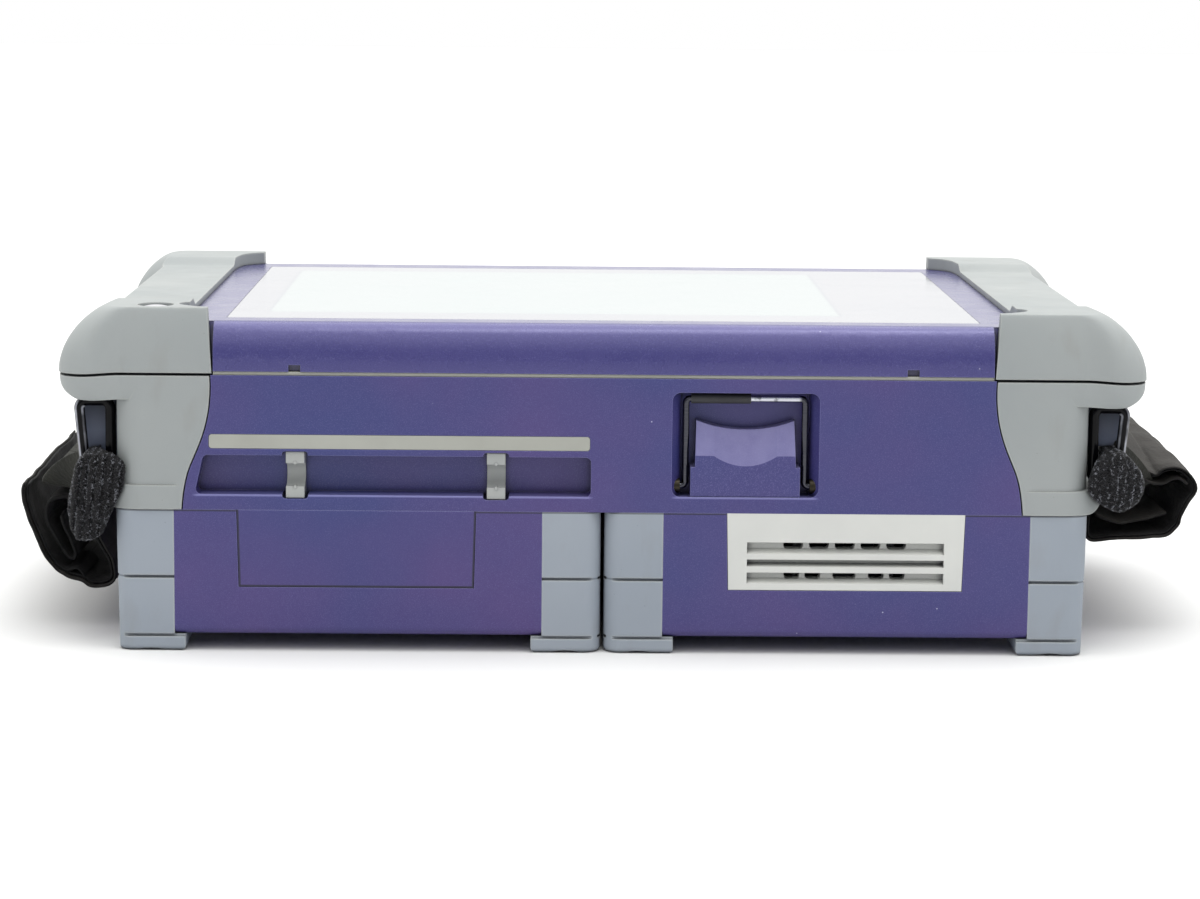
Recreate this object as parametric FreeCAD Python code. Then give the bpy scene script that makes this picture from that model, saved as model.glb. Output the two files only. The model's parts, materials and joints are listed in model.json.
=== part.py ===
"""Portable optical time domain reflectometer, lying on its back with the screen up.

A mainframe with a touch screen stands on two plug-in modules. Rubber bumpers wrap its
corners, webbing handles hang on strap rings at both sides, and a wire bail folds into
the near face. Millimetres; +X right, +Y away, +Z up out of the screen. The origin lies
on the floor under the middle of the instrument.
"""
import FreeCAD
import Part
import math
import os
from FreeCAD import Vector

# ---- mainframe ---------------------------------------------------------------------
BODY_HALF_W = 143.0        # centre plane to the side of the case
FACE_Y = 94.0              # centre plane to the near and far faces
CASE_BOTTOM = 42.2         # back of the mainframe, where the modules seat
CASE_H = 39.7              # rear case
GASKET_T = 1.1
FRAME_H = 14.4             # front frame, from the gasket to the screen
WRAP_T = 4.0               # rubber over the corners of the casings
CASE_WALL = 2.5
FIT = 0.15                 # clearance round a part that drops into a cut-out
EDGE_GAP = 0.4             # visible joint between rubber and painted case

CASE_TOP = CASE_BOTTOM + CASE_H
FRAME_BOTTOM = CASE_TOP + GASKET_T
SCREEN_Z = FRAME_BOTTOM + FRAME_H
CORE_HALF_W = BODY_HALF_W - WRAP_T
CORE_Y = FACE_Y - WRAP_T

# ---- front frame and screen ----------------------------------------------------------
BROW_HALF_W = 114.0        # painted brow between the bumpers
BROW_DEPTH = 5.3           # how far the brow leans back up to the screen
FRAME_WALL = 2.5
GLASS_HALF_W = 111.0
GLASS_Y = (-81.0, 77.0)
GLASS_T = 1.1
DISPLAY_W = 170.4          # 8.4 inch, 4:3
DISPLAY_H = 127.8
DISPLAY_X = -14.4
POST_R = 4.0               # screw posts inside both casings
POST_INSET = 11.0
SCREW_R = 1.25
LCD_RIM = (14.0, 7.4)      # metal rim of the display module beyond the picture
LCD_T = 7.5
NOTCH_X = 90.3             # small release notches in the frame's lower edge
NOTCH_SIZE = (3.5, 2.0, 1.8)

# ---- rubber bumpers --------------------------------------------------------------------
BUMPER_SPLIT = 0.8         # dark joint between the front and the rear bumper
CROWN_Z = SCREEN_Z + 4.0   # top of the corner blocks
WAIST_Z = SCREEN_Z + 1.8   # top of the bumper between them
WAIST_Y = 60.0             # the low stretch reaches this far each way
STEP_Y = 8.0               # length of the slope up to a corner block
LOBE_X = 16.2              # how far a corner lobe bulges past the case side
LOBE_Y = 4.5               # how far it bulges past the face
WAIST_X = 6.5              # how far the waist stands past the case side
FLANGE_H = 7.2             # rear bumper's flange under the joint
STRAP_BAY_H = 25.0         # open bay for the straps below the flange
LUG_X = 5.2                # lower bead past the case side
INNER_EDGE = 8.0           # step of the bumper's inner edge, corner block to waist
NEAR_LIP = 4.1             # depth of the near arm, from the face
FAR_SWEEP = 28.0           # length of the far arm's curve, from the face
RELIEF = 2.6               # notch at the root of the near arm
ARM_LEAN = 1.3             # the near arm's end leans away from the brow by this much
CORNER_R = 8.0

FLANGE_TOP = CASE_TOP - 0.3
FLANGE_BOTTOM = FLANGE_TOP - FLANGE_H
BUMPER_BOTTOM = FLANGE_TOP + BUMPER_SPLIT
LUG_TOP = FLANGE_BOTTOM - STRAP_BAY_H
BUMPER_INNER = BROW_HALF_W + EDGE_GAP

# ---- power button ----------------------------------------------------------------------
BUTTON_INSET = (11.5, 10.0)   # sides of the case to the middle of the button
BUTTON_R = 5.0
BUTTON_GAP = 0.3
BUTTON_TRAVEL = 1.2
STEM_R = 2.0
STEM_CLEAR = 0.08
CLIP_RING = (3.1, 1.1)     # radius and thickness of the ring that retains the stem
SWITCH_SIZE = (8.0, 6.0)
SWITCH_SHELF = 3.0

BUTTON_X = BUTTON_INSET[0] - BODY_HALF_W
BUTTON_Y = BUTTON_INSET[1] - FACE_Y

# ---- near face -------------------------------------------------------------------------
STRIP_X = (-115.3, -4.0)
STRIP_Z = (60.4, 64.5)
STRIP_DEPTH = 1.6
STYLUS_X = (-119.6, -3.6)
STYLUS_Z = (46.8, 58.4)
STYLUS_DEPTH = 8.0
CLIP_X = (-90.2, -31.4)
CLIP_W = 5.4
CLIP_T = 1.3
POCKET_BACK = 2.5          # wall behind a pocket

BAIL_X = (20.0, 63.2)      # mouth of the bail recess
BAIL_Z = (47.0, 77.8)
BAIL_DEPTH = 9.0
BAIL_BEVEL = 2.6           # sloped side bands of the recess
BAIL_WIRE_R = 1.0
BAIL_WIRE_Y = -FACE_Y + 3.4
BAIL_PIVOT_Z = 49.9
BAIL_LEG_INSET = 4.1       # recess mouth to the middle of a leg
BAIL_TOP_GAP = 0.5
KEEPER_Z = (55.8, 59.2, 69.2)   # ledge, foot of the slope and top of the keeper
KEEPER_LEAN = 3.9          # the slope leans back this far
KEEPER_DISH = (40.0, 1.1)  # radius and depth of the finger dish
SLEEVE_R = 1.5
SLEEVE_LEN = 17.5
BUSH_R = 2.2
BUSH_L = 2.0
BUSH_CLEAR = 0.06

# ---- strap rings and handles -------------------------------------------------------------
RING_R = 1.55
RING_OFF = 0.6             # inner leg of a ring stands this far off the side of the case
RING_Y = 84.0
RING_LEAN = 1.0            # outer bar's lean from its middle to each end
STRAP_T = 2.4
FOLD_HALF = 2.6            # half the space between the leaves of a fold
STRAP_TAIL = 13.0          # length of the folded end behind the ring
SLEEVE_HALF_L = 60.0
HANDLE_CLEAR = 0.4
HANDLE_REACH = 35.6        # outer edge of a sleeve from the side of the case
SLEEVE_INNER = (6.4, 4.2)  # inner side of a sleeve, above the lower bead and below it
SLEEVE_BEAD = (37.0, 40.0)      # heights where it passes the bead
SLEEVE_EDGE_LEFT = (54.0, 42.0, 13.2)    # heights of the inner, outer and lowest edge
SLEEVE_EDGE_RIGHT = (61.0, 48.5, 27.6)
SLEEVE_LEFT_TOP = ((16.0, 51.5), (27.0, 46.5))
SLEEVE_LEFT_LOW = ((31.0, 30.0), (23.5, 17.0), (12.0, 12.3))
SLEEVE_RIGHT_TOP = ((16.0, 57.5), (28.0, 54.5))
SLEEVE_RIGHT_LOW = ((34.6, 40.0), (28.5, 29.5), (17.0, 27.9))
STRAP_W_LEFT = 27.0
STRAP_W_RIGHT = 19.5
STRAP_LOW_LEFT = 33.9
STRAP_LOW_RIGHT = 44.8

# ---- modules -----------------------------------------------------------------------------
MODULE_GAP = 1.0
FOOT_H = 5.0
GUARD_W = 17.3
GUARD_R = 5.0
FOOT_REACH = 3.2           # foot pad beyond the guard, under the case
FOOT_EDGE_R = 1.6
SCALLOP_R = 18.0           # shallow arch under each foot
SCALLOP_RISE = 0.8
GROOVE = 0.8
GROOVE_Z = (4.7, 22.2)
MODULE_WALL = 2.4
MODULE_DRAFT = 1.0
LID_T = 1.6
LID_SEAT = 1.1
HATCH_W = 70.0             # cut-out in the near face, open at the top edge
HATCH_H = 22.8
HATCH_DRAFT = 0.6
HATCH_LIP = 1.5
HATCH_OFF = {"left": -0.55, "right": -0.25}   # middle of a hatch from the middle of its module

# ---- vent grille -----------------------------------------------------------------------------
SLOT_W = 58.0
SLOT_DEPTH = 3.2
SLOT_HEIGHTS = ((30.2, 33.6), (26.4, 28.5), (21.4, 24.6))
VENT_H = 2.4
VENT_ROW_TOP = ((-15.2, 5.8), (-7.6, 5.8), (0.0, 5.8), (7.6, 5.8), (15.2, 5.8))
VENT_ROW_LOW = ((-15.6, 4.6), (-9.4, 4.6), (0.0, 6.8), (9.4, 4.6), (15.6, 4.6))

# ---- inside the modules ------------------------------------------------------------------------
FAN_SIZE = 30.0
FAN_T = 10.0
FAN_CLEAR = 0.9
FAN_BLADES = 7
BATTERY_SIZE = (56.0, 150.0, 26.0)
BOARD_T = 1.6
STANDOFF_H = 3.5
LASER_SIZE = (44.0, 34.0, 12.0)
LASER_BACK = 26.0          # laser block from the far wall of its module
PLANE_SIZE = (51.0, 11.0)  # backplane connector
PLANE_REACH = 6.0          # how far it reaches past the walls into module and mainframe
PLANE_CLEAR = 0.5
MAIN_BOARD_INSET = (19.0, 14.0, 16.0)   # side, near and far edge of the board from the case core

# ---- far side ------------------------------------------------------------------------------------
BAY_X = (-70.0, 50.0)
BAY_Z = (49.1, 74.0)
BAY_DEPTH = 10.0
SOCKET_FIT = 0.1           # clearance round a connector in the back of its bay
COVER_T = 2.5
COVER_PIN_R = 1.0
COVER_GAP = 0.4
PORT_BAY_X = (47.0, 95.0)
PORT_BAY_Z = (12.0, 36.0)
PORT_BAY_DEPTH = 14.0
PORT_X = (60.0, 82.0)
PORT_BARREL_R = 4.0
PORT_BARREL_L = 8.0
PORT_FLANGE = (12.7, 1.6)
FERRULE_R = 1.25
CAP_R = 5.6


# ---- small helpers -----------------------------------------------------------------------------
def box(x0, x1, y0, y1, z0, z1):
    """Box between two corners."""
    return Part.makeBox(x1 - x0, y1 - y0, z1 - z0, Vector(x0, y0, z0))


def rod(radius, start, end):
    """Round bar from one point to another."""
    return Part.makeCylinder(radius, (end - start).Length, start, end - start)


def in_plane(axis, a, b, level):
    """Point (a, b) of an outline drawn across the axis: X gives Y, Z; Y gives X, Z; Z gives X, Y."""
    return {"X": Vector(level, a, b), "Y": Vector(a, level, b), "Z": Vector(a, b, level)}[axis]


def outline(axis, level, points):
    """Closed wire. A tuple is a straight run to that point, a list of two an arc through
    the first to the second, and a longer list a smooth curve through all of them."""
    here = in_plane(axis, *points[0], level)
    edges = []
    for step in list(points[1:]) + [points[0]]:
        through = [in_plane(axis, *p, level) for p in (step if isinstance(step, list) else [step])]
        if len(through) == 1:
            if (through[0] - here).Length > 1e-6:
                edges.append(Part.makeLine(here, through[0]))
        elif len(through) == 2:
            edges.append(Part.Arc(here, through[0], through[1]).toShape())
        else:
            curve = Part.BSplineCurve()
            curve.interpolate([here] + through)
            edges.append(curve.toShape())
        here = through[-1]
    return Part.Wire(edges)


def prism(axis, start, end, points):
    """Outline drawn across the axis and pushed along it from start to end."""
    direction = {"X": Vector(1, 0, 0), "Y": Vector(0, 1, 0), "Z": Vector(0, 0, 1)}[axis]
    return Part.Face(outline(axis, start, points)).extrude(direction * (end - start))


def mirrored(shape):
    """The same piece on the other side of the centre plane."""
    return shape.mirror(Vector(0, 0, 0), Vector(1, 0, 0))


def along(edge, axis):
    """True for a straight edge that runs along X, Y or Z."""
    if not isinstance(edge.Curve, (Part.Line, Part.LineSegment)):
        return False
    run = edge.Vertexes[-1].Point - edge.Vertexes[0].Point
    return abs(getattr(run, axis.lower())) > 0.999 * run.Length


def rounded_box(x0, x1, y0, y1, z0, z1, radius, axis="Z"):
    """Box with its four edges along one axis rounded."""
    solid = box(x0, x1, y0, y1, z0, z1)
    return solid.makeFillet(radius, [e for e in solid.Edges if along(e, axis)])


def fused(shapes):
    """One solid from several that touch."""
    whole = shapes[0].multiFuse(list(shapes[1:])) if len(shapes) > 1 else shapes[0]
    return whole.removeSplitter()


def bent_rod(axis, level, points, radius, bend):
    """Open wire rod whose flat path turns each corner on an arc of the bend radius."""
    path = [in_plane(axis, a, b, level) for a, b in points]
    pieces = []
    here = path[0]
    for before, corner, after in zip(path, path[1:], path[2:]):
        inward = (before - corner).normalize()
        onward = (after - corner).normalize()
        half_turn = inward.getAngle(onward) / 2
        back = bend / math.tan(half_turn)
        enter = corner + inward * back
        centre = corner + (inward + onward).normalize() * (bend / math.sin(half_turn))
        section = Part.Face(Part.Wire(Part.makeCircle(radius, enter, inward)))
        turn = onward.cross(inward)
        pieces.append(rod(radius, here, enter))
        pieces.append(section.revolve(centre, turn, 180.0 - math.degrees(2 * half_turn)))
        here = corner + onward * back
    pieces.append(rod(radius, here, path[-1]))
    return fused(pieces)


# ---- bumpers ---------------------------------------------------------------------------------------
def bumper_section(side_t, level):
    """Plan outline of the right-hand bumper. side_t runs from 0, the full outline at the
    joint between the bumpers, to 1, the crown."""
    w, y = BODY_HALF_W, FACE_Y
    joint_points = [
        (w - 2.0, -y),
        (w + 3.0, -y - 0.45 * LOBE_Y),
        (w + 8.0, -y - LOBE_Y),
        (w + 13.0, -y - 0.62 * LOBE_Y),
        (w + LOBE_X, -y + 3.5),
        (w + LOBE_X - 0.3, -y + 11.0),
        (w + 13.4, -y + 21.0),
        (w + 9.2, -y + 30.5),
        (w + WAIST_X, -y + 40.0),
    ]
    crown_points = [
        (w - 5.0, -y + 2.5),
        (w - 2.4, -y + 2.6),
        (w - 0.4, -y + 3.2),
        (w + 1.3, -y + 5.0),
        (w + 2.0, -y + 8.0),
        (w + 2.2, -y + 13.0),
        (w + 1.9, -y + 21.0),
        (w + 1.2, -y + 30.5),
        (w + 0.5, -y + 40.0),
    ]
    near = [(a[0] + (b[0] - a[0]) * side_t, a[1] + (b[1] - a[1]) * side_t)
            for a, b in zip(joint_points, crown_points)]
    far = [(x, -y) for x, y in reversed(near)]
    start = (BUMPER_INNER, near[0][1])
    end = (BUMPER_INNER, far[-1][1])
    return outline("Z", level, [start, near[0], near[1:], far[0], far[1:], end])


def dome(height_share):
    """How far the outline has drawn in at a share of the bumper's height."""
    return 0.5 * (height_share ** 2 + 1 - math.sqrt(max(0.0, 1 - height_share ** 2)))


def bumper_crown():
    """Domed front bumper of the right side, before it is cut to fit."""
    height = CROWN_Z - BUMPER_BOTTOM
    shares = (0.0, 0.35, 0.6, 0.8, 0.92, 0.98, 1.0)
    wires = [bumper_section(dome(s), BUMPER_BOTTOM + s * height) for s in shares]
    return Part.makeLoft(wires, True, False)


def inner_edge_cutter():
    """Everything above the screen plane that lies inside the bumper's inner edge. The near
    arm is a low lip with a small relief at its root; the far arm sweeps in on a curve."""
    arm, waist = BUMPER_INNER, BUMPER_INNER + INNER_EDGE
    lip_y = -FACE_Y + NEAR_LIP
    lip = [(arm, lip_y), (arm + 0.6 * INNER_EDGE, lip_y + 1.6), (waist + 0.8, lip_y + 5.4)]
    relief = [(waist + RELIEF, lip_y + 9.4), (waist, lip_y + 13.4)]
    far_y = FACE_Y - FAR_SWEEP
    sweep = [(waist - 0.08 * INNER_EDGE, far_y + 0.3 * FAR_SWEEP),
             (waist - 0.33 * INNER_EDGE, far_y + 0.55 * FAR_SWEEP),
             (arm, FACE_Y - 8.0)]
    points = [(arm - 5.0, lip_y), lip[0], lip[1], lip[2], relief, (waist, far_y), sweep,
              (arm - 5.0, FACE_Y - 8.0)]
    return prism("Z", SCREEN_Z, CROWN_Z + 5.0, points)


def arm_end_cutter():
    """Wedge that opens the joint between the near arm's end and the brow towards the top."""
    edge, top = BUMPER_INNER, CROWN_Z + 1.0
    return prism("Y", -FACE_Y - LOBE_Y, -FACE_Y + NEAR_LIP + 0.5,
                 [(edge - 1, BUMPER_BOTTOM - 1), (edge, BUMPER_BOTTOM), (edge + ARM_LEAN, top), (edge - 1, top)])


def waist_cutter():
    """Lowers the bumper between its corner blocks, with a soft slope at each end."""
    low, high, over = WAIST_Z, CROWN_Z, CROWN_Z + 5.0
    y0, y1 = WAIST_Y, WAIST_Y + STEP_Y
    rise = high - low
    up = [(y0 + 0.25 * STEP_Y, low + 0.1 * rise), (y0 + 0.75 * STEP_Y, low + 0.9 * rise), (y1, high)]
    down = [(-y0 - 0.75 * STEP_Y, low + 0.9 * rise), (-y0 - 0.25 * STEP_Y, low + 0.1 * rise), (-y0, low)]
    return prism("X", BUMPER_INNER - 10.0, BODY_HALF_W + 30.0,
                 [(-y0, low), (y0, low), up, (y1, over), (-y1, over), (-y1, high), down])


def front_bumper(frame):
    """Right-hand front bumper, seated on the front frame."""
    solid = bumper_crown().cut(inner_edge_cutter()).cut(waist_cutter()).cut(arm_end_cutter())
    below = box(0, CORE_HALF_W, -CORE_Y, CORE_Y, BUMPER_BOTTOM - 1, FRAME_BOTTOM)
    return solid.cut(frame).cut(below)


def rear_face_points(gap):
    """Right half of the painted near face: its edge sweeps in above the lower corner."""
    return [(0.0, CASE_BOTTOM - gap), (123.1 + gap, CASE_BOTTOM - gap),
            [(122.3 + gap, 48.8), (121.2 + gap, 53.4), (118.9 + gap, 59.0), (116.4 + gap, 65.7),
             (115.0 + gap, 72.3), (BROW_HALF_W + 0.7 + gap, CASE_TOP + gap)],
            (0.0, CASE_TOP + gap)]


def face_panel(gap, y0, y1):
    """Raised painted panel of the rear case, both halves."""
    half = prism("Y", y0, y1, rear_face_points(gap))
    return fused([half, mirrored(half)])


def rear_flange():
    """Flange of the rear bumper: the joint outline, drawn in towards its lower edge."""
    levels = (0.0, 0.35, 0.65, 0.85, 1.0)
    wires = [bumper_section(0.02 + 0.28 * v ** 3, FLANGE_TOP - v * FLANGE_H) for v in levels]
    return Part.makeLoft(wires, True, False)


def rear_lug():
    """Bead round the lower edge of the rear bumper."""
    out = BODY_HALF_W + LUG_X
    corner_r = min(CORNER_R + LUG_X, 0.48 * (out - BUMPER_INNER))
    plan = rounded_box(BUMPER_INNER, out, -FACE_Y - 0.5, FACE_Y + 0.5, CASE_BOTTOM, LUG_TOP, corner_r)
    side = prism("Y", -FACE_Y - 1, FACE_Y + 1,
                 [(BUMPER_INNER, CASE_BOTTOM), (BODY_HALF_W + 0.2, CASE_BOTTOM),
                  [(out - 1.2, CASE_BOTTOM + 2.0), (out, CASE_BOTTOM + 4.4)],
                  [(out - 0.7, LUG_TOP - 0.7), (out - 2.4, LUG_TOP)],
                  (BUMPER_INNER, LUG_TOP)])
    return plan.common(side)


def rear_bumper(case_core):
    """Right-hand rear bumper: corner wrap, flange over the strap bay and lower bead."""
    wrap = rounded_box(BUMPER_INNER - 10, BODY_HALF_W, -FACE_Y, FACE_Y, CASE_BOTTOM, FLANGE_TOP, CORNER_R)
    wrap = wrap.cut(box(BUMPER_INNER - 12, BUMPER_INNER, -FACE_Y - 1, FACE_Y + 1,
                        CASE_BOTTOM - 1, FLANGE_TOP + 1))
    solid = fused([wrap, rear_flange(), rear_lug()])
    solid = solid.cut(case_core)
    for y0, y1 in ((-FACE_Y - 8, -CORE_Y), (CORE_Y, FACE_Y + 8)):
        solid = solid.cut(face_panel(EDGE_GAP, y0, y1))
    return solid


# ---- front frame, screen and gasket ------------------------------------------------------------------
def brow_profile(sign):
    """Cross section of the curved brow, from the joint up to the screen."""
    y = sign * FACE_Y
    top = sign * (FACE_Y - BROW_DEPTH)
    return [(0.0, FRAME_BOTTOM), (y, FRAME_BOTTOM),
            [(y - sign * 0.4, FRAME_BOTTOM + 0.45 * FRAME_H),
             (y - sign * 1.9, FRAME_BOTTOM + 0.78 * FRAME_H),
             (top + sign * 1.0, SCREEN_Z - 0.45),
             (top - sign * 0.6, SCREEN_Z)],
            (0.0, SCREEN_Z)]


def front_frame_outside():
    """Solid outer form of the front frame."""
    core = box(-CORE_HALF_W, CORE_HALF_W, -CORE_Y, CORE_Y, FRAME_BOTTOM, SCREEN_Z)
    under = [e for e in core.Edges if along(e, "Z") or (along(e, "Y") and e.BoundBox.ZMin > SCREEN_Z - 1)]
    core = core.makeFillet(3.0, under)
    brows = [prism("X", -BROW_HALF_W, BROW_HALF_W, brow_profile(s)) for s in (-1, 1)]
    tabs = [box(-BROW_HALF_W, BROW_HALF_W, -CORE_Y - 0.5, CORE_Y + 0.5, FRAME_BOTTOM, FRAME_BOTTOM + 4)]
    core_under_brow = core.cut(box(-BROW_HALF_W, BROW_HALF_W, -FACE_Y, FACE_Y, FRAME_BOTTOM - 1, SCREEN_Z + 1))
    return fused([core_under_brow] + brows + tabs)


def display_window():
    """Opening of the frame under the glass."""
    half_w, half_h = DISPLAY_W / 2 + 3.0, DISPLAY_H / 2 + 3.0
    return box(DISPLAY_X - half_w, DISPLAY_X + half_w, -half_h, half_h, FRAME_BOTTOM - 1, SCREEN_Z + 1)


def screw_posts():
    """Places of the three long screws; the power switch takes the fourth corner."""
    x, y = CORE_HALF_W - POST_INSET, CORE_Y - POST_INSET
    return [(x, -y), (x, y), (-x, y)]


def front_frame(outside):
    """Painted front frame: window, glass seat, screw posts and the release notches."""
    ceiling = SCREEN_Z - FRAME_WALL
    hollow = box(-CORE_HALF_W + FRAME_WALL, CORE_HALF_W - FRAME_WALL,
                 -CORE_Y + FRAME_WALL, CORE_Y - FRAME_WALL, FRAME_BOTTOM - 1, ceiling)
    seat = box(-GLASS_HALF_W - FIT, GLASS_HALF_W + FIT, GLASS_Y[0] - FIT, GLASS_Y[1] + FIT,
               SCREEN_Z - GLASS_T, SCREEN_Z + 1)
    solid = outside.cut(hollow).cut(seat).cut(display_window())
    posts = [rod(POST_R, Vector(x, y, FRAME_BOTTOM), Vector(x, y, ceiling)) for x, y in screw_posts()]
    half_w, half_d = SWITCH_SIZE[0] / 2 + 1, SWITCH_SIZE[1] / 2 + 1
    shelf = box(-CORE_HALF_W + 1, BUTTON_X + half_w, -CORE_Y + 1, BUTTON_Y + half_d,
                FRAME_BOTTOM, FRAME_BOTTOM + SWITCH_SHELF)
    solid = fused([solid, shelf] + posts)
    w, h, d = NOTCH_SIZE
    for x in (-NOTCH_X, NOTCH_X):
        solid = solid.cut(box(x - w / 2, x + w / 2, -FACE_Y - 1, -FACE_Y + d, FRAME_BOTTOM - 1,
                              FRAME_BOTTOM + h))
    for x, y in screw_posts():
        solid = solid.cut(rod(SCREW_R, Vector(x, y, FRAME_BOTTOM - 1), Vector(x, y, ceiling - 2)))
    return solid.cut(button_rod(STEM_R + STEM_CLEAR, FRAME_BOTTOM + SWITCH_SHELF, CROWN_Z))


def button_rod(radius, z0, z1):
    """Round bar on the power button's axis."""
    return rod(radius, Vector(BUTTON_X, BUTTON_Y, z0), Vector(BUTTON_X, BUTTON_Y, z1))


def button_well():
    """Round well of the power button in the corner block of the bumper."""
    return button_rod(BUTTON_R + BUTTON_GAP, SCREEN_Z, CROWN_Z + 5)


def stem_end():
    """Level of the lower end of the button's stem."""
    return SCREEN_Z - FRAME_WALL - 0.1 - CLIP_RING[1]


def power_button():
    """Domed cap on a stem, with a retaining ring under the frame's top wall."""
    dome_r = 14.0
    low = SCREEN_Z + BUTTON_TRAVEL + 0.1
    rim = CROWN_Z - 1.0
    ball = Part.makeSphere(dome_r, Vector(BUTTON_X, BUTTON_Y, CROWN_Z - 0.1 - dome_r))
    dome = button_rod(BUTTON_R, rim, CROWN_Z + 1).common(ball)
    ring_r, ring_t = CLIP_RING
    end = stem_end()
    return fused([dome, button_rod(BUTTON_R, low, rim), button_rod(STEM_R, end, low + 0.5),
                  button_rod(ring_r, end, end + ring_t)])


def power_switch():
    """Push switch on the frame's corner shelf, a travel's length below the stem."""
    top = stem_end() - BUTTON_TRAVEL - 0.1
    half_w, half_d = SWITCH_SIZE[0] / 2, SWITCH_SIZE[1] / 2
    body = box(BUTTON_X - half_w, BUTTON_X + half_w, BUTTON_Y - half_d, BUTTON_Y + half_d,
               FRAME_BOTTOM + SWITCH_SHELF, top - 1.0)
    return fused([body, button_rod(STEM_R, top - 1.5, top)])


def touch_window():
    """Flat touch panel, flush with the frame."""
    return rounded_box(-GLASS_HALF_W, GLASS_HALF_W, GLASS_Y[0], GLASS_Y[1], SCREEN_Z - GLASS_T, SCREEN_Z, 0.8)


def lcd_module():
    """Display module under the window."""
    top = SCREEN_Z - FRAME_WALL
    half_w, half_h = DISPLAY_W / 2 + LCD_RIM[0], DISPLAY_H / 2 + LCD_RIM[1]
    body = box(DISPLAY_X - half_w, DISPLAY_X + half_w, -half_h, half_h, top - LCD_T, top)
    picture_w, picture_h = DISPLAY_W / 2 + 2.9, DISPLAY_H / 2 + 2.9
    raised = box(DISPLAY_X - picture_w, DISPLAY_X + picture_w, -picture_h, picture_h, top,
                 SCREEN_Z - GLASS_T)
    return fused([body, raised])


def seam_gasket():
    """Flat gasket between the casings, just showing on the near and far faces."""
    lip = FACE_Y - 0.3
    outside = fused([box(-CORE_HALF_W, CORE_HALF_W, -CORE_Y, CORE_Y, CASE_TOP, FRAME_BOTTOM),
                     box(-BROW_HALF_W, BROW_HALF_W, -lip, lip, CASE_TOP, FRAME_BOTTOM)])
    inset = CASE_WALL
    ring = outside.cut(box(-CORE_HALF_W + inset, CORE_HALF_W - inset, -CORE_Y + inset, CORE_Y - inset,
                           CASE_TOP - 1, FRAME_BOTTOM + 1))
    return ring


# ---- rear case ---------------------------------------------------------------------------------------
def rear_case_core():
    """Block of the rear case under the rubber."""
    return box(-CORE_HALF_W, CORE_HALF_W, -CORE_Y, CORE_Y, CASE_BOTTOM, CASE_TOP)


def stylus_pocket():
    """Long pocket whose left end slants with the edge of the bumper."""
    (x0, x1), (z0, z1) = STYLUS_X, STYLUS_Z
    pocket = prism("Y", -FACE_Y - 1, -FACE_Y + STYLUS_DEPTH,
                   [(x0, z0), (x1, z0), (x1, z1), (x0 + 2.6, z1)])
    pocket = pocket.makeFillet(1.6, [e for e in pocket.Edges if abs(e.BoundBox.YLength) > STYLUS_DEPTH])
    seats = [clip_seat(x) for x in CLIP_X]
    return fused([pocket] + seats)


def clip_seat(x):
    """Slightly taller pocket that holds one stylus clip."""
    half = CLIP_W / 2 + 1.1
    return rounded_box(x - half, x + half, -FACE_Y - 1, -FACE_Y + STYLUS_DEPTH,
                       STYLUS_Z[0] - 1.2, STYLUS_Z[1] + 1.2, 1.0, "Y")


def stylus_clip(x):
    """Sprung C clip: two jaws with small beads, joined at the back."""
    z0, z1 = STYLUS_Z[0] - 1.0, STYLUS_Z[1] + 1.0
    front = -FACE_Y + 0.6
    back = -FACE_Y + STYLUS_DEPTH
    mid = (z0 + z1) / 2
    jaw = 3.4
    body = prism("X", x - CLIP_W / 2, x + CLIP_W / 2,
                 [(back, z0), (back, z1), (front, z1), (front, z1 - jaw),
                  [(front + 3.6, z1 - jaw - 0.4), (front + 5.8, mid + 1.2), (front + 5.8, mid - 1.2),
                   (front + 3.6, z0 + jaw + 0.4), (front, z0 + jaw)],
                  (front, z0)])
    beads = [rod(0.5, Vector(x, front - 0.2, z), Vector(x, front + 2.5, z))
             for z in (z0 + jaw - 0.2, z1 - jaw + 0.2)]
    return fused([body] + beads)


def bail_recess():
    """Recess with bevelled sides for the folded bail."""
    (x0, x1), (z0, z1) = BAIL_X, BAIL_Z
    bevel_depth = 4.0
    mouth = prism("Z", z0, z1, [(x0, -FACE_Y - 1), (x1, -FACE_Y - 1), (x1, -FACE_Y),
                                (x1 - BAIL_BEVEL, -FACE_Y + bevel_depth),
                                (x0 + BAIL_BEVEL, -FACE_Y + bevel_depth), (x0, -FACE_Y)])
    rounding = rounded_box(x0, x1, -FACE_Y - 2, -FACE_Y + BAIL_DEPTH, z0, z1, 2.6, "Y")
    deep = box(x0 + BAIL_BEVEL, x1 - BAIL_BEVEL, -FACE_Y - 1, -FACE_Y + BAIL_DEPTH, z0, z1)
    holes = [bail_axis_rod(r, side, 0.5, -length) for side in (-1, 1)
             for r, length in ((BUSH_R, BUSH_L), (BAIL_WIRE_R + 0.3, BUSH_L + 2.0))]
    return fused([fused([mouth, deep]).common(rounding)] + holes)


def bail_axis_rod(radius, side, start, end):
    """Bar on the bail's axis; start and end count inwards from a side wall of the recess."""
    wall = BAIL_X[0] + BAIL_BEVEL if side < 0 else BAIL_X[1] - BAIL_BEVEL
    ends = sorted((wall - side * start, wall - side * end))
    return rod(radius, Vector(ends[0], BAIL_WIRE_Y, BAIL_PIVOT_Z), Vector(ends[1], BAIL_WIRE_Y, BAIL_PIVOT_Z))


def bail_legs():
    """Middle of the left and of the right leg of the bail."""
    return BAIL_X[0] + BAIL_LEG_INSET, BAIL_X[1] - BAIL_LEG_INSET


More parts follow.
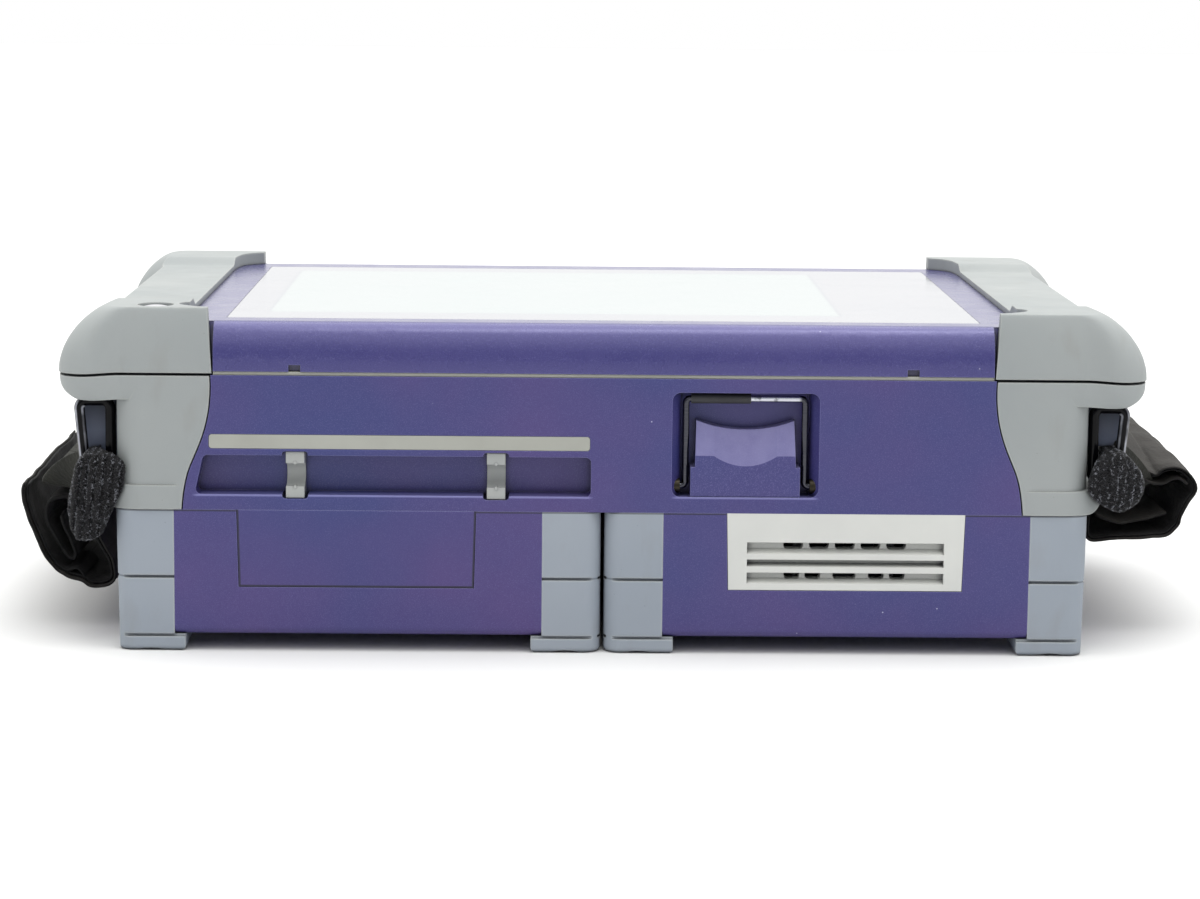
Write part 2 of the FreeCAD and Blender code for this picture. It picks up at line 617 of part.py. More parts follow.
def bail_keeper():
    """Moulded block between the legs, dished on top as a finger rest."""
    left, right = bail_legs()
    gap = BAIL_WIRE_R + 0.4
    lx, rx = left + gap, right - gap
    foot, (ledge, shoulder, top) = BAIL_Z[0], KEEPER_Z
    mid = (lx + rx) / 2
    front, back = -FACE_Y + 0.4, -FACE_Y + BAIL_DEPTH
    block = prism("Y", front, back,
                  [(lx, foot), (rx, foot), (rx, ledge), (rx - 1.3, ledge), (rx - 1.7, top),
                   [(mid, top - 2.7), (lx + 1.7, top)], (lx + 1.3, ledge), (lx, ledge)])
    lean = KEEPER_LEAN
    slope = prism("X", lx - 5, rx + 5, [(front - 5, shoulder), (front, shoulder), (front + lean, top),
                                        (front + lean, top + 3), (front - 5, top + 3)])
    block = block.cut(slope)
    dish_r, dish_depth = KEEPER_DISH
    run = Vector(0, lean, top - shoulder).normalize()
    out = Vector(0, -run.z, run.y)
    centre = Vector(mid, front, shoulder) + out * (dish_r - dish_depth)
    return block.cut(rod(dish_r, centre - run * 40, centre + run * 40))


def bail_wire():
    """Steel wire bail with its ends turned out into the bushes."""
    left, right = bail_legs()
    top = BAIL_Z[1] - BAIL_TOP_GAP - SLEEVE_R
    reach = BAIL_LEG_INSET - BAIL_BEVEL + BUSH_L + 1.0
    points = [(left - reach, BAIL_PIVOT_Z), (left, BAIL_PIVOT_Z), (left, top),
              (right, top), (right, BAIL_PIVOT_Z), (right + reach, BAIL_PIVOT_Z)]
    return bent_rod("Y", BAIL_WIRE_Y, points, BAIL_WIRE_R, BAIL_WIRE_R * 1.4)


def bail_sleeve():
    """Rubber tube over the left part of the bail's top bar."""
    left, _ = bail_legs()
    top = BAIL_Z[1] - BAIL_TOP_GAP - SLEEVE_R
    x0 = left + BAIL_WIRE_R * 1.4 + 0.1
    ends = Vector(x0, BAIL_WIRE_Y, top), Vector(x0 + SLEEVE_LEN, BAIL_WIRE_Y, top)
    return rod(SLEEVE_R, *ends).cut(rod(BAIL_WIRE_R, *ends))


def bail_bushes():
    """Two brass bushes in the side walls of the recess."""
    return [bail_axis_rod(BUSH_R, side, -0.1, -BUSH_L).cut(bail_axis_rod(BAIL_WIRE_R + BUSH_CLEAR, side, 1, -9))
            for side in (-1, 1)]


def interface_bay():
    """Recess for the connectors in the far face, with a groove for the cover's knuckle."""
    (x0, x1), (z0, z1) = BAY_X, BAY_Z
    return box(x0, x1, FACE_Y - BAY_DEPTH, FACE_Y + 1, z0, z1)


def connector_row():
    """Name, middle X, width and height of each connector in the bay."""
    z = (BAY_Z[0] + BAY_Z[1]) / 2
    return {"ethernet_jack": (-52.0, 16.0, 13.5, z), "usb_ports": (-24.0, 13.2, 5.8, z),
            "audio_jack": (16.0, 8.0, 8.0, z), "dc_inlet": (36.0, 11.0, 11.0, z)}


def strip_recess(grow):
    """Rounded strip of the near face, grown by a clearance."""
    (x0, x1), (z0, z1) = STRIP_X, STRIP_Z
    return rounded_box(x0 - grow, x1 + grow, -FACE_Y - 1, -FACE_Y + STRIP_DEPTH, z0 - grow, z1 + grow,
                       0.9, "Y")


def rear_case():
    """Painted rear case with its pockets, screw posts and the openings for the modules."""
    core = rear_case_core()
    core = core.makeFillet(2.0, [e for e in core.Edges if along(e, "Z")])
    panels = [face_panel(0.0, -FACE_Y, -CORE_Y), face_panel(0.0, CORE_Y, FACE_Y)]
    solid = fused([core] + panels)
    inner_w, inner_y = CORE_HALF_W - CASE_WALL, CORE_Y - CASE_WALL
    floor = CASE_BOTTOM + CASE_WALL
    hollow = box(-inner_w, inner_w, -inner_y, inner_y, floor, CASE_TOP + 1)
    posts = [rod(POST_R, Vector(x, y, CASE_BOTTOM + 1), Vector(x, y, FRAME_BOTTOM)) for x, y in screw_posts()]
    solid = fused([solid.cut(hollow)] + posts)
    for cutter in (stylus_pocket(), bail_recess(), interface_bay(), strip_recess(0.1)):
        solid = solid.cut(cutter)
    for x, y in screw_posts():
        solid = solid.cut(rod(SCREW_R + 0.4, Vector(x, y, CASE_BOTTOM - 1), Vector(x, y, FRAME_BOTTOM + 1)))
        solid = solid.cut(rod(POST_R - 0.7, Vector(x, y, CASE_BOTTOM - 1), Vector(x, y, CASE_BOTTOM + 3)))
    for centre in module_centres().values():
        half_w, half_d = PLANE_SIZE[0] / 2 + PLANE_CLEAR, PLANE_SIZE[1] / 2 + PLANE_CLEAR
        solid = solid.cut(box(centre - half_w, centre + half_w, -half_d, half_d, CASE_BOTTOM - 1, floor + 1))
    return solid.cut(cover_pin_hole())


def pocket_backs():
    """Trays behind the wall that close the stylus pocket, the bail recess and the connector
    bay. They stand on the floor of the case."""
    wall, floor, rim = CORE_Y - CASE_WALL, CASE_BOTTOM + CASE_WALL, POCKET_BACK
    stylus = box(STYLUS_X[0] - rim, STYLUS_X[1] + rim, -wall, -FACE_Y + STYLUS_DEPTH + rim,
                 floor, STYLUS_Z[1] + 1.2 + rim)
    bail = box(BAIL_X[0] - rim, BAIL_X[1] + rim, -wall, -FACE_Y + BAIL_DEPTH + rim, floor, BAIL_Z[1] + rim)
    bay = box(BAY_X[0] - rim, BAY_X[1] + rim, FACE_Y - BAY_DEPTH - rim, wall, floor, BAY_Z[1] + rim)
    bay = bay.cut(interface_bay())
    for x, w, h, z in connector_row().values():
        bay = bay.cut(box(x - w / 2 - SOCKET_FIT, x + w / 2 + SOCKET_FIT, FACE_Y - BAY_DEPTH - rim - 1,
                          FACE_Y - BAY_DEPTH + 1, z - h / 2 - SOCKET_FIT, z + h / 2 + SOCKET_FIT))
    return {"stylus_pocket_back": stylus.cut(stylus_pocket()), "bail_recess_back": bail.cut(bail_recess()),
            "connector_bay_back": bay}


# ---- straps -----------------------------------------------------------------------------------------
def strap_x():
    """Middle of the webbing: its inner leaf just clears the bumper's lower bead."""
    return BODY_HALF_W + LUG_X + 0.3 + FOLD_HALF + STRAP_T


def strap_ring(y):
    """Black strap ring in the bay: inner leg at the side of the case, outer bar leaning in a little."""
    inner = BODY_HALF_W + RING_OFF + RING_R
    top = FLANGE_BOTTOM - RING_R
    low = LUG_TOP + RING_R
    knee = (low + top) / 2
    outer_top, outer_low = strap_x() + RING_LEAN, strap_x() - RING_LEAN
    upper = bent_rod("Y", y, [(inner, knee), (inner, top), (outer_top, top), (strap_x(), knee)],
                     RING_R, RING_R * 1.5)
    lower = bent_rod("Y", y, [(inner, knee), (inner, low), (outer_low, low), (strap_x(), knee)],
                     RING_R, RING_R * 1.5)
    return fused([upper, lower])


def strap_fold(side, width, low):
    """Folded hook-and-loop ends of one handle, round the outer bar of each ring. The inner
    leaf is bunched into the ring, above its lower bar."""
    middle, hole, outer = strap_x(), FOLD_HALF, FOLD_HALF + STRAP_T
    high = low + width
    bunched = LUG_TOP + 2 * RING_R + 0.4
    folds = []
    for s in (-1, 1):
        back, seam, bar_side, nose = (s * (RING_Y + d) for d in (-STRAP_TAIL, -STRAP_TAIL + 3, hole, outer))
        outer_leaf = box(middle + hole, middle + outer, *sorted((back, nose)), low, high)
        inner_leaf = box(middle - outer, middle - hole, *sorted((back, nose)), bunched, high)
        turn = box(middle - outer, middle + outer, *sorted((bar_side, nose)), low, high)
        sewn = box(middle - outer, middle + outer, *sorted((back, seam)), low, high)
        folds.append(fused([outer_leaf, inner_leaf, turn, sewn]))
    return folds if side > 0 else [mirrored(f) for f in folds]


def handle_section(side):
    """Cross section of the folded sleeve, hanging lower on the left. Offsets are from the
    side of the case; heights from the floor."""
    (inner, low_inner), (bead_low, bead_top) = SLEEVE_INNER, SLEEVE_BEAD
    if side < 0:
        top, low = SLEEVE_LEFT_TOP, SLEEVE_LEFT_LOW
        edge = SLEEVE_EDGE_LEFT
    else:
        top, low = SLEEVE_RIGHT_TOP, SLEEVE_RIGHT_LOW
        edge = SLEEVE_EDGE_RIGHT
    points = [(inner, edge[0])] + list(top) + [(HANDLE_REACH, edge[1])] + list(low)
    points += [(low_inner, edge[2]), (low_inner, bead_low), (inner, bead_top)]
    return [(side * (BODY_HALF_W + offset), z) for offset, z in points]


def handle_webbing(side, width, low):
    """Flat webbing through the sleeve, between the two folds."""
    middle = strap_x()
    half = STRAP_T / 2
    reach = RING_Y - STRAP_TAIL - HANDLE_CLEAR
    band = box(middle - half, middle + half, -reach, reach, low + 1, low + width - 1)
    return band if side > 0 else mirrored(band)


def handle_sleeve(side, width, low):
    """Padded sleeve round the webbing."""
    solid = prism("Y", -SLEEVE_HALF_L, SLEEVE_HALF_L, handle_section(side))
    return solid.cut(handle_webbing(side, width, low))


# ---- modules --------------------------------------------------------------------------------------------
def module_span(side):
    """X range of a module."""
    inner = MODULE_GAP / 2
    return (-BODY_HALF_W, -inner) if side == "left" else (inner, BODY_HALF_W)


def module_centres():
    """Middle X of each module."""
    return {side: sum(module_span(side)) / 2 for side in ("left", "right")}


def hatch_centre(side):
    """Middle X of the cut-out in a module's near face."""
    return module_centres()[side] + HATCH_OFF[side]


def module_wedge(side):
    """Slight taper of a module towards its feet, on its outer side."""
    x0, x1 = module_span(side)
    low0 = x0 + MODULE_DRAFT if side == "left" else x0
    low1 = x1 if side == "left" else x1 - MODULE_DRAFT
    return prism("Y", -FACE_Y - 5, FACE_Y + 5, [(low0, 0.0), (low1, 0.0), (x1, CASE_BOTTOM), (x0, CASE_BOTTOM)])


def module_core(side):
    """Outer form of a module case, stepped in at its corners for the guards."""
    x0, x1 = module_span(side)
    thick = WRAP_T
    parts = [box(x0 + thick, x1 - thick, -CORE_Y, CORE_Y, FOOT_H, CASE_BOTTOM),
             box(x0 + GUARD_W, x1 - GUARD_W, -FACE_Y, FACE_Y, FOOT_H, CASE_BOTTOM),
             box(x0, x1, -FACE_Y + GUARD_W, FACE_Y - GUARD_W, FOOT_H, CASE_BOTTOM)]
    parts[1] = parts[1].makeFillet(2.4, [e for e in parts[1].Edges
                                         if along(e, "X") and e.BoundBox.ZMax < FOOT_H + 1])
    return fused(parts).common(module_wedge(side))


def hatch(side, grow, y0, y1, top):
    """Tapered plate shape of the near-face cut-out, grown by a clearance or a lip."""
    centre = hatch_centre(side)
    half = HATCH_W / 2 + grow
    low = CASE_BOTTOM - HATCH_H - grow
    return prism("Y", y0, y1, [(centre - half + HATCH_DRAFT, low), (centre + half - HATCH_DRAFT, low),
                               (centre + half, top), (centre - half, top)])


def module_inside(side):
    """Hollow of a module case."""
    x0, x1 = module_span(side)
    inset = WRAP_T + MODULE_WALL
    return x0 + inset, x1 - inset, -CORE_Y + MODULE_WALL, CORE_Y - MODULE_WALL, FOOT_H + MODULE_WALL


def module_case(side):
    """Painted module case, open at the top for its lid and at the near face for its hatch."""
    x0, x1, y0, y1, floor = module_inside(side)
    solid = module_core(side).cut(box(x0, x1, y0, y1, floor, CASE_BOTTOM + 1))
    if side == "right":
        back = box(PORT_BAY_X[0] - 2, PORT_BAY_X[1] + 2, FACE_Y - PORT_BAY_DEPTH - 2, y1 + 1,
                   FOOT_H + 1, PORT_BAY_Z[1] + 2)
        solid = fused([solid, back])
        solid = solid.cut(rounded_box(PORT_BAY_X[0], PORT_BAY_X[1], FACE_Y - PORT_BAY_DEPTH, FACE_Y + 1,
                                      PORT_BAY_Z[0], PORT_BAY_Z[1], 2.0, "Y"))
        for x in PORT_X:
            z = sum(PORT_BAY_Z) / 2
            solid = solid.cut(rod(PORT_BARREL_R + 0.1, Vector(x, FACE_Y - PORT_BAY_DEPTH - 3, z),
                                  Vector(x, FACE_Y, z)))
    solid = solid.cut(hatch(side, FIT, -FACE_Y - 1, y0 + 1, CASE_BOTTOM + 1))
    return solid.cut(lid_space(side, LID_SEAT + 0.1, CASE_BOTTOM + 1))


def lid_space(side, seat, top):
    """Block that the lid takes up, resting on a step as wide as the seat."""
    x0, x1, y0, y1, _ = module_inside(side)
    return box(x0 - seat, x1 + seat, y0 - seat, y1 + seat, CASE_BOTTOM - LID_T, top)


def module_lid(side):
    """Sheet lid with the opening for the backplane connector."""
    lid = lid_space(side, LID_SEAT, CASE_BOTTOM)
    centre = module_centres()[side]
    return lid.cut(box(centre - 26, centre + 26, -6, 6, CASE_BOTTOM - 5, CASE_BOTTOM + 1))


def corner_guards(side, case_core):
    """Four rubber corner guards of a module, each with its foot."""
    x0, x1 = module_span(side)
    wedge = module_wedge(side)
    guards = []
    for sx, corner_x in ((1, x0), (-1, x1)):
        for sy in (1, -1):
            corner_y = -sy * FACE_Y
            wide = sorted((corner_x, corner_x + sx * GUARD_W))
            deep = sorted((corner_y, corner_y + sy * GUARD_W))
            pad_x = sorted((corner_x, corner_x + sx * (GUARD_W + FOOT_REACH)))
            pad_y = sorted((corner_y, corner_y + sy * (GUARD_W + FOOT_REACH)))
            wall = box(*wide, *deep, 0, CASE_BOTTOM)
            pad = box(*pad_x, *pad_y, 0, FOOT_H)
            whole = fused([wall, pad])
            whole = whole.makeFillet(GUARD_R, [e for e in whole.Edges if along(e, "Z")
                                               and abs(e.BoundBox.XMin - corner_x) < 0.01
                                               and abs(e.BoundBox.YMin - corner_y) < 0.01])
            whole = whole.makeFillet(FOOT_EDGE_R, [e for e in whole.Edges if e.BoundBox.ZMax < 0.01])
            middle = corner_x + sx * (GUARD_W + FOOT_REACH) / 2
            arch = Vector(middle, min(pad_y) - 1, SCALLOP_RISE - SCALLOP_R)
            whole = whole.cut(rod(SCALLOP_R, arch, arch + Vector(0, GUARD_W + FOOT_REACH + 2, 0)))
            for z in GROOVE_Z:
                shell = box(corner_x - 30, corner_x + 30, corner_y - 30, corner_y + 30, z - GROOVE / 2,
                            z + GROOVE / 2)
                keep_x = sorted((corner_x + sx * GROOVE, corner_x + sx * 40))
                keep_y = sorted((corner_y + sy * GROOVE, corner_y + sy * 40))
                whole = whole.cut(shell.cut(box(*keep_x, *keep_y, z - 5, z + 5)))
            guards.append(whole.cut(case_core).common(wedge))
    return guards


def blank_insert():
    """Blanking plate in the left module's near face, held by a lip behind the wall."""
    _, _, y0, _, _ = module_inside("left")
    plate = hatch("left", 0.0, -FACE_Y, y0, CASE_BOTTOM)
    lip = hatch("left", HATCH_LIP, y0, y0 + 1.5, CASE_BOTTOM - LID_T - 0.1)
    return fused([plate, lip]).cut(lid_space("left", LID_SEAT + 0.1, CASE_BOTTOM + 1))


def vent_row(row, z_top, y0, y1):
    """Row of oblong vents whose tops tuck under the slot's upper edge."""
    centre = hatch_centre("right")
    return [rounded_box(centre + x - w / 2, centre + x + w / 2, y0, y1, z_top - VENT_H, z_top + 0.4,
                        1.1, "Y") for x, w in row]


def vent_grille():
    """Silver grille plate: three louvre slots, two of them with vents at the back."""
    _, _, y0, _, _ = module_inside("right")
    centre = hatch_centre("right")
    plate = hatch("right", 0.0, -FACE_Y, y0, CASE_BOTTOM)
    lip = hatch("right", HATCH_LIP, y0, y0 + 1.5, CASE_BOTTOM - LID_T - 0.1)
    solid = fused([plate, lip]).cut(lid_space("right", LID_SEAT + 0.1, CASE_BOTTOM + 1))
    front, back = -FACE_Y, -FACE_Y + SLOT_DEPTH
    for low, high in SLOT_HEIGHTS:
        sill = 0.35 * (high - low)
        slot = prism("X", centre - SLOT_W / 2, centre + SLOT_W / 2,
                     [(front - 1, low), (front, low), (back, low + sill), (back, high), (front - 1, high)])
        solid = solid.cut(slot)
    for row, (low, high) in ((VENT_ROW_TOP, SLOT_HEIGHTS[0]), (VENT_ROW_LOW, SLOT_HEIGHTS[2])):
        for vent in vent_row(row, high, back - 0.5, y0 + 3):
            solid = solid.cut(vent)
    return solid


# ---- inside the modules ------------------------------------------------------------------------------------
def fan_origin():
    """Near-side middle of the fan, seated on the case floor behind the grille."""
    _, _, y0, _, floor = module_inside("right")
    return Vector(hatch_centre("right"), y0 + 1.5, floor + FAN_SIZE / 2)


def fan_frame():
    """Square fan frame with a three-armed spider and the rotor's pin."""
    c = fan_origin()
    half = FAN_SIZE / 2
    body = rounded_box(c.x - half, c.x + half, c.y, c.y + FAN_T, c.z - half, c.z + half, 2.0, "Y")
    tunnel = rod(half - 1.2, c + Vector(0, -1, 0), c + Vector(0, FAN_T + 1, 0))
    solid = body.cut(tunnel)
    back = c + Vector(0, FAN_T - 1.5, 0)
    arms = [rod(5.0, back, back + Vector(0, 1.5, 0)), rod(1.0, c + Vector(0, 2.5, 0), back)]
    for k in range(3):
        turn = math.radians(90 + 120 * k)
        arm = box(0, half - 0.6, 0, 1.5, -1.0, 1.0)
        arm.rotate(Vector(0, 0, 0), Vector(0, -1, 0), math.degrees(turn))
        arm.translate(back)
        arms.append(arm)
    return fused([solid] + arms)


def fan_rotor():
    """Hub and pitched blades, running on the frame's pin."""
    c = fan_origin()
    start = c + Vector(0, 1.0, 0)
    end = c + Vector(0, FAN_T - 2.0, 0)
    hub = rod(5.5, start, end).cut(rod(1.05, start + Vector(0, 1.2, 0), end + Vector(0, 1, 0)))
    tip = FAN_SIZE / 2 - 1.2 - FAN_CLEAR
    blades = []
    for k in range(FAN_BLADES):
        blade = box(4.8, tip, -3.6, 3.6, -0.45, 0.45)
        blade.rotate(Vector(0, 0, 0), Vector(1, 0, 0), 48)
        blade.rotate(Vector(0, 0, 0), Vector(0, 1, 0), 360.0 * k / FAN_BLADES)
        blade.translate((start + end) * 0.5)
        blades.append(blade)
    return fused([hub] + blades).common(rod(tip, start, end))


def battery_packs():
    """Two packs side by side on the floor of the battery module."""
    x0, x1, y0, y1, floor = module_inside("left")
    w, l, h = BATTERY_SIZE
    middle = (x0 + x1) / 2
    packs = []
    for s in (-1, 1):
        cx = middle + s * (w / 2 + 1.0)
        packs.append(rounded_box(cx - w / 2, cx + w / 2, -l / 2, l / 2, floor, floor + h, 3.0, "Y"))
    return packs


def optical_board():
    """Circuit board of the optical module on four standoffs."""
    x0, x1, y0, y1, floor = module_inside("right")
    z = floor + STANDOFF_H
    board = box(x0 + 6, x1 - 6, y0 + 18, y1 - 16, z, z + BOARD_T)
    legs = [rod(2.5, Vector(x, y, floor), Vector(x, y, z)) for x in (x0 + 11, x1 - 11)
            for y in (y0 + 24, y1 - 22)]
    return fused([board] + legs)


def laser_module():
    """Laser and receiver block on the optical board, behind the ports."""
    _, _, _, y1, floor = module_inside("right")
    z = floor + STANDOFF_H + BOARD_T
    middle = sum(PORT_X) / 2
    w, length, h = LASER_SIZE
    back = y1 - LASER_BACK
    return rounded_box(middle - w / 2, middle + w / 2, back - length, back, z, z + h, 1.5)


def backplane_connectors():
    """Two connector blocks that join the modules to the mainframe through their openings."""
    half_w, half_d = PLANE_SIZE[0] / 2, PLANE_SIZE[1] / 2
    return [box(centre - half_w, centre + half_w, -half_d, half_d, CASE_BOTTOM - LID_T - PLANE_REACH,
                CASE_BOTTOM + CASE_WALL + PLANE_REACH) for centre in module_centres().values()]


def main_board():
    """Mainframe circuit board, resting on the backplane connectors."""
    side, near, far = MAIN_BOARD_INSET
    half_w = CORE_HALF_W - side
    z = CASE_BOTTOM + CASE_WALL + PLANE_REACH
    return box(-half_w, half_w, near - CORE_Y, CORE_Y - far, z, z + BOARD_T)


# ---- far side -------------------------------------------------------------------------------------------------
def cover_axis():
    """Y and Z of the cover's hinge pin."""
    return FACE_Y - COVER_T, BAY_Z[0] + COVER_GAP + COVER_T


def cover_pin_hole():
    """Hole for the hinge pin through both cheeks of the bay."""
    y, z = cover_axis()
    return rod(COVER_PIN_R, Vector(BAY_X[0] - 2, y, z), Vector(BAY_X[1] + 2, y, z))


def cover_hinge_pin():
    """Steel pin of the cover."""
    return cover_pin_hole()


def interface_cover():
    """Flap over the connectors, with its knuckle along the lower edge."""
    y, z = cover_axis()
    x0, x1 = BAY_X[0] + COVER_GAP, BAY_X[1] - COVER_GAP
    knuckle = rod(COVER_T, Vector(x0, y, z), Vector(x1, y, z))
    plate = box(x0, x1, FACE_Y - COVER_T, FACE_Y, z, BAY_Z[1] - COVER_GAP)
    nick = box(-18, -2, FACE_Y - 1.2, FACE_Y + 1, BAY_Z[1] - COVER_GAP - 3.0, BAY_Z[1])
    bore = rod(COVER_PIN_R + 0.05, Vector(x0 - 1, y, z), Vector(x1 + 1, y, z))
    return fused([knuckle, plate]).cut(nick).cut(bore)


def connector(name):
    """One connector block set through the back wall of the bay."""
    x, w, h, z = connector_row()[name]
    back = FACE_Y - BAY_DEPTH
    block = box(x - w / 2, x + w / 2, back - 12, back + 1.5, z - h / 2, z + h / 2)
    if name == "ethernet_jack":
        mouth = box(x - 5.9, x + 5.9, back - 9, back + 2, z - 4.2, z + 3.6)
    elif name == "usb_ports":
        mouth = box(x - 5.9, x + 5.9, back - 9, back + 2, z - 2.2, z + 2.2).cut(
            box(x - 5.4, x + 5.4, back - 9, back + 0.5, z + 0.2, z + 1.6))
    elif name == "audio_jack":
        mouth = rod(1.8, Vector(x, back - 9, z), Vector(x, back + 2, z))
    else:
        mouth = rod(4.0, Vector(x, back - 9, z), Vector(x, back + 2, z)).cut(
            rod(1.0, Vector(x, back - 9, z), Vector(x, back, z)))
    return block.cut(mouth)


def optical_ports():
    """Two fibre adapters: flange, barrel and the ferrule bore through them."""
    z = sum(PORT_BAY_Z) / 2
    back = FACE_Y - PORT_BAY_DEPTH
    side, thick = PORT_FLANGE
    ports = []
    for x in PORT_X:
        flange = rounded_box(x - side / 2, x + side / 2, back, back + thick, z - side / 2, z + side / 2,
                             1.5, "Y")
        barrel = rod(PORT_BARREL_R, Vector(x, back - 2, z), Vector(x, back + thick + PORT_BARREL_L, z))
        bore = rod(FERRULE_R, Vector(x, back - 3, z), Vector(x, back + thick + PORT_BARREL_L + 1, z))
        ports.append(fused([flange, barrel]).cut(bore))
    return ports


def dust_cap(index):
    """Rubber cap over one fibre adapter."""
    z = sum(PORT_BAY_Z) / 2
    x = PORT_X[index]
    base = FACE_Y - PORT_BAY_DEPTH + PORT_FLANGE[1]
    start = Vector(x, base, z)
    end = Vector(x, base + PORT_BARREL_L + 2.0, z)
    cap = rod(CAP_R, start, end)
    cap = cap.makeFillet(1.0, [e for e in cap.Edges if e.BoundBox.YMin > end.y - 0.01])
    return cap.cut(rod(PORT_BARREL_R + 0.05, start, start + Vector(0, PORT_BARREL_L + 0.1, 0)))


# ---- screws -----------------------------------------------------------------------------------------------------
def case_screws():
    """Long screws through the rear case into the front frame."""
    screws = []
    for x, y in screw_posts():
        head = rod(POST_R - 0.9, Vector(x, y, CASE_BOTTOM + 0.4), Vector(x, y, CASE_BOTTOM + 3.0))
        shank = rod(SCREW_R, Vector(x, y, CASE_BOTTOM + 3.0), Vector(x, y, FRAME_BOTTOM + 6.0))
        screws.append(fused([head, shank]))
    return screws


def save(name, shape):
    """Writes one node; a list becomes a group of separate solids."""
    shape = Part.makeCompound(shape) if isinstance(shape, list) else shape
    shape.exportStep("parts/" + name + ".step")
    print(name, len(shape.Solids), "solids, valid", shape.isValid(), "volume", round(shape.Volume))


def main():
    os.makedirs("parts", exist_ok=True)
    outside = front_frame_outside()
    save("front_frame", front_frame(outside))
    save("touch_window", touch_window())
    save("lcd_module", lcd_module())
    save("seam_gasket", seam_gasket())
    bumper = front_bumper(outside)
    save("front_bumper_right", bumper)
    save("front_bumper_left", mirrored(bumper).cut(button_well()))
    save("power_button", power_button())
    save("power_switch", power_switch())

    save("rear_case", rear_case())
    guard_rubber = rear_bumper(rear_case_core())
    save("rear_bumper_right", guard_rubber)
    save("rear_bumper_left", mirrored(guard_rubber))
    for name, shape in pocket_backs().items():
        save(name, shape)
    save("foot_strip", strip_recess(0.0).common(box(-200, 200, -FACE_Y, 0, 0, 200)))
    save("stylus_clips", [stylus_clip(x) for x in CLIP_X])
    save("bail_keeper", bail_keeper())
    save("bail_wire", bail_wire())
    save("bail_sleeve", bail_sleeve())
    save("bail_bushes", bail_bushes())

    for name, y in (("near", -RING_Y), ("far", RING_Y)):
        ring = strap_ring(y)
        save("strap_ring_" + name + "_right", ring)
        save("strap_ring_" + name + "_left", mirrored(ring))
    for name, side, width, low in (("left", -1, STRAP_W_LEFT, STRAP_LOW_LEFT),
                                   ("right", 1, STRAP_W_RIGHT, STRAP_LOW_RIGHT)):
        save("strap_folds_" + name, strap_fold(side, width, low))
        save("handle_webbing_" + name, handle_webbing(side, width, low))
        save("handle_sleeve_" + name, handle_sleeve(side, width, low))

    for side, module in (("left", "battery_module"), ("right", "optical_module")):
        save(module + "_case", module_case(side))
        save(module + "_lid", module_lid(side))
        save(module + "_guards", corner_guards(side, module_core(side)))
    save("blank_insert", blank_insert())
    save("vent_grille", vent_grille())
    save("fan_frame", fan_frame())
    save("fan_rotor", fan_rotor())
    save("battery_packs", battery_packs())
    save("optical_board", optical_board())
    save("laser_module", laser_module())
    save("backplane_connectors", backplane_connectors())
    save("main_board", main_board())

    save("interface_cover", interface_cover())
    save("cover_hinge_pin", cover_hinge_pin())
    for name in connector_row():
        save(name, connector(name))
    save("optical_ports", optical_ports())
    for index in range(len(PORT_X)):
        save("dust_cap_" + str(index + 1), dust_cap(index))
    save("case_screws", case_screws())


main()
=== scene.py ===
import bmesh
import bpy
import json
import math
import random
from mathutils import Matrix, Vector, noise


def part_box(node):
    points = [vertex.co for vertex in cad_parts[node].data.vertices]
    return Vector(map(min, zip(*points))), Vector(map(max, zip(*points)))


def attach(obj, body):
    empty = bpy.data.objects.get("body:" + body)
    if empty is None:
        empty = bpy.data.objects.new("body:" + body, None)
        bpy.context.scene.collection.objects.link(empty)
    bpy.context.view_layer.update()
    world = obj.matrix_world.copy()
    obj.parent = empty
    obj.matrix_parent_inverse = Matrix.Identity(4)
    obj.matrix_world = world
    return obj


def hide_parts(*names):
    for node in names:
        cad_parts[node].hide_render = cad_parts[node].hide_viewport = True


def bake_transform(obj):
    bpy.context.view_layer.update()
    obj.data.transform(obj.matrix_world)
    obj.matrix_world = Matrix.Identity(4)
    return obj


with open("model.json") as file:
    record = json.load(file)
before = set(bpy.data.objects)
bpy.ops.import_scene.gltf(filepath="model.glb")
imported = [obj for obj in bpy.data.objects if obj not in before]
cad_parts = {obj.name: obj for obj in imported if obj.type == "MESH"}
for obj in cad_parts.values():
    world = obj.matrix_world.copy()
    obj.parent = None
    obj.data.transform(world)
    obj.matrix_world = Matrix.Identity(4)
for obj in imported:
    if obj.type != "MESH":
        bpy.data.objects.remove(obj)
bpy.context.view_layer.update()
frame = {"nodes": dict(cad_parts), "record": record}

MM = 0.001
MAIN = "mainframe"

# ---- places on the frame that the dressing refers to, in millimetres -------------------
SCREEN_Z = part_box("touch_window")[1][2] / MM
FACE_Y = -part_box("rear_case")[0][1] / MM
SIDE_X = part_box("battery_module_case")[0][0] / -MM
LUG_R = 13.2                       # plan radius of the lower bead round the case corner
LUG_CENTRE = (SIDE_X - 8.0, FACE_Y - 12.7)
STRAP_X = 153.5                    # middle of the webbing
RING_Y = 84.0
FLANGE_LOW = 74.4                  # underside of the bumper's flange
CASE_LOW = 42.2                    # joint between mainframe and modules
GROOVE_Z = (21.95, 22.45)          # groove moulded round the modules' guards
DISPLAY_X = -14.4                  # display area: middle, half sizes, and the line round it
DISPLAY_HALF = (85.2, 63.9)
DISPLAY_LINE = 0.9
POCKET_LIP_H = 0.55                # height of the lit lips under stylus pocket and bail recess
POCKET_LIPS = [(46.25, -119.6, -3.6, 0.45), (46.45, 20.6, 62.6, 0.40)]    # foot, ends, strength
# The wire's painted highlight lies along this stretch.
BARE_WIRE_X = (40.0, 57.6)         # stretch of the bail's top bar beside its rubber sleeve
BARE_WIRE_Z = (75.0, 79.0)
HATCH_X = -72.3                    # blank insert: middle, half width, foot, and slant of its sides
HATCH_HALF = 34.85
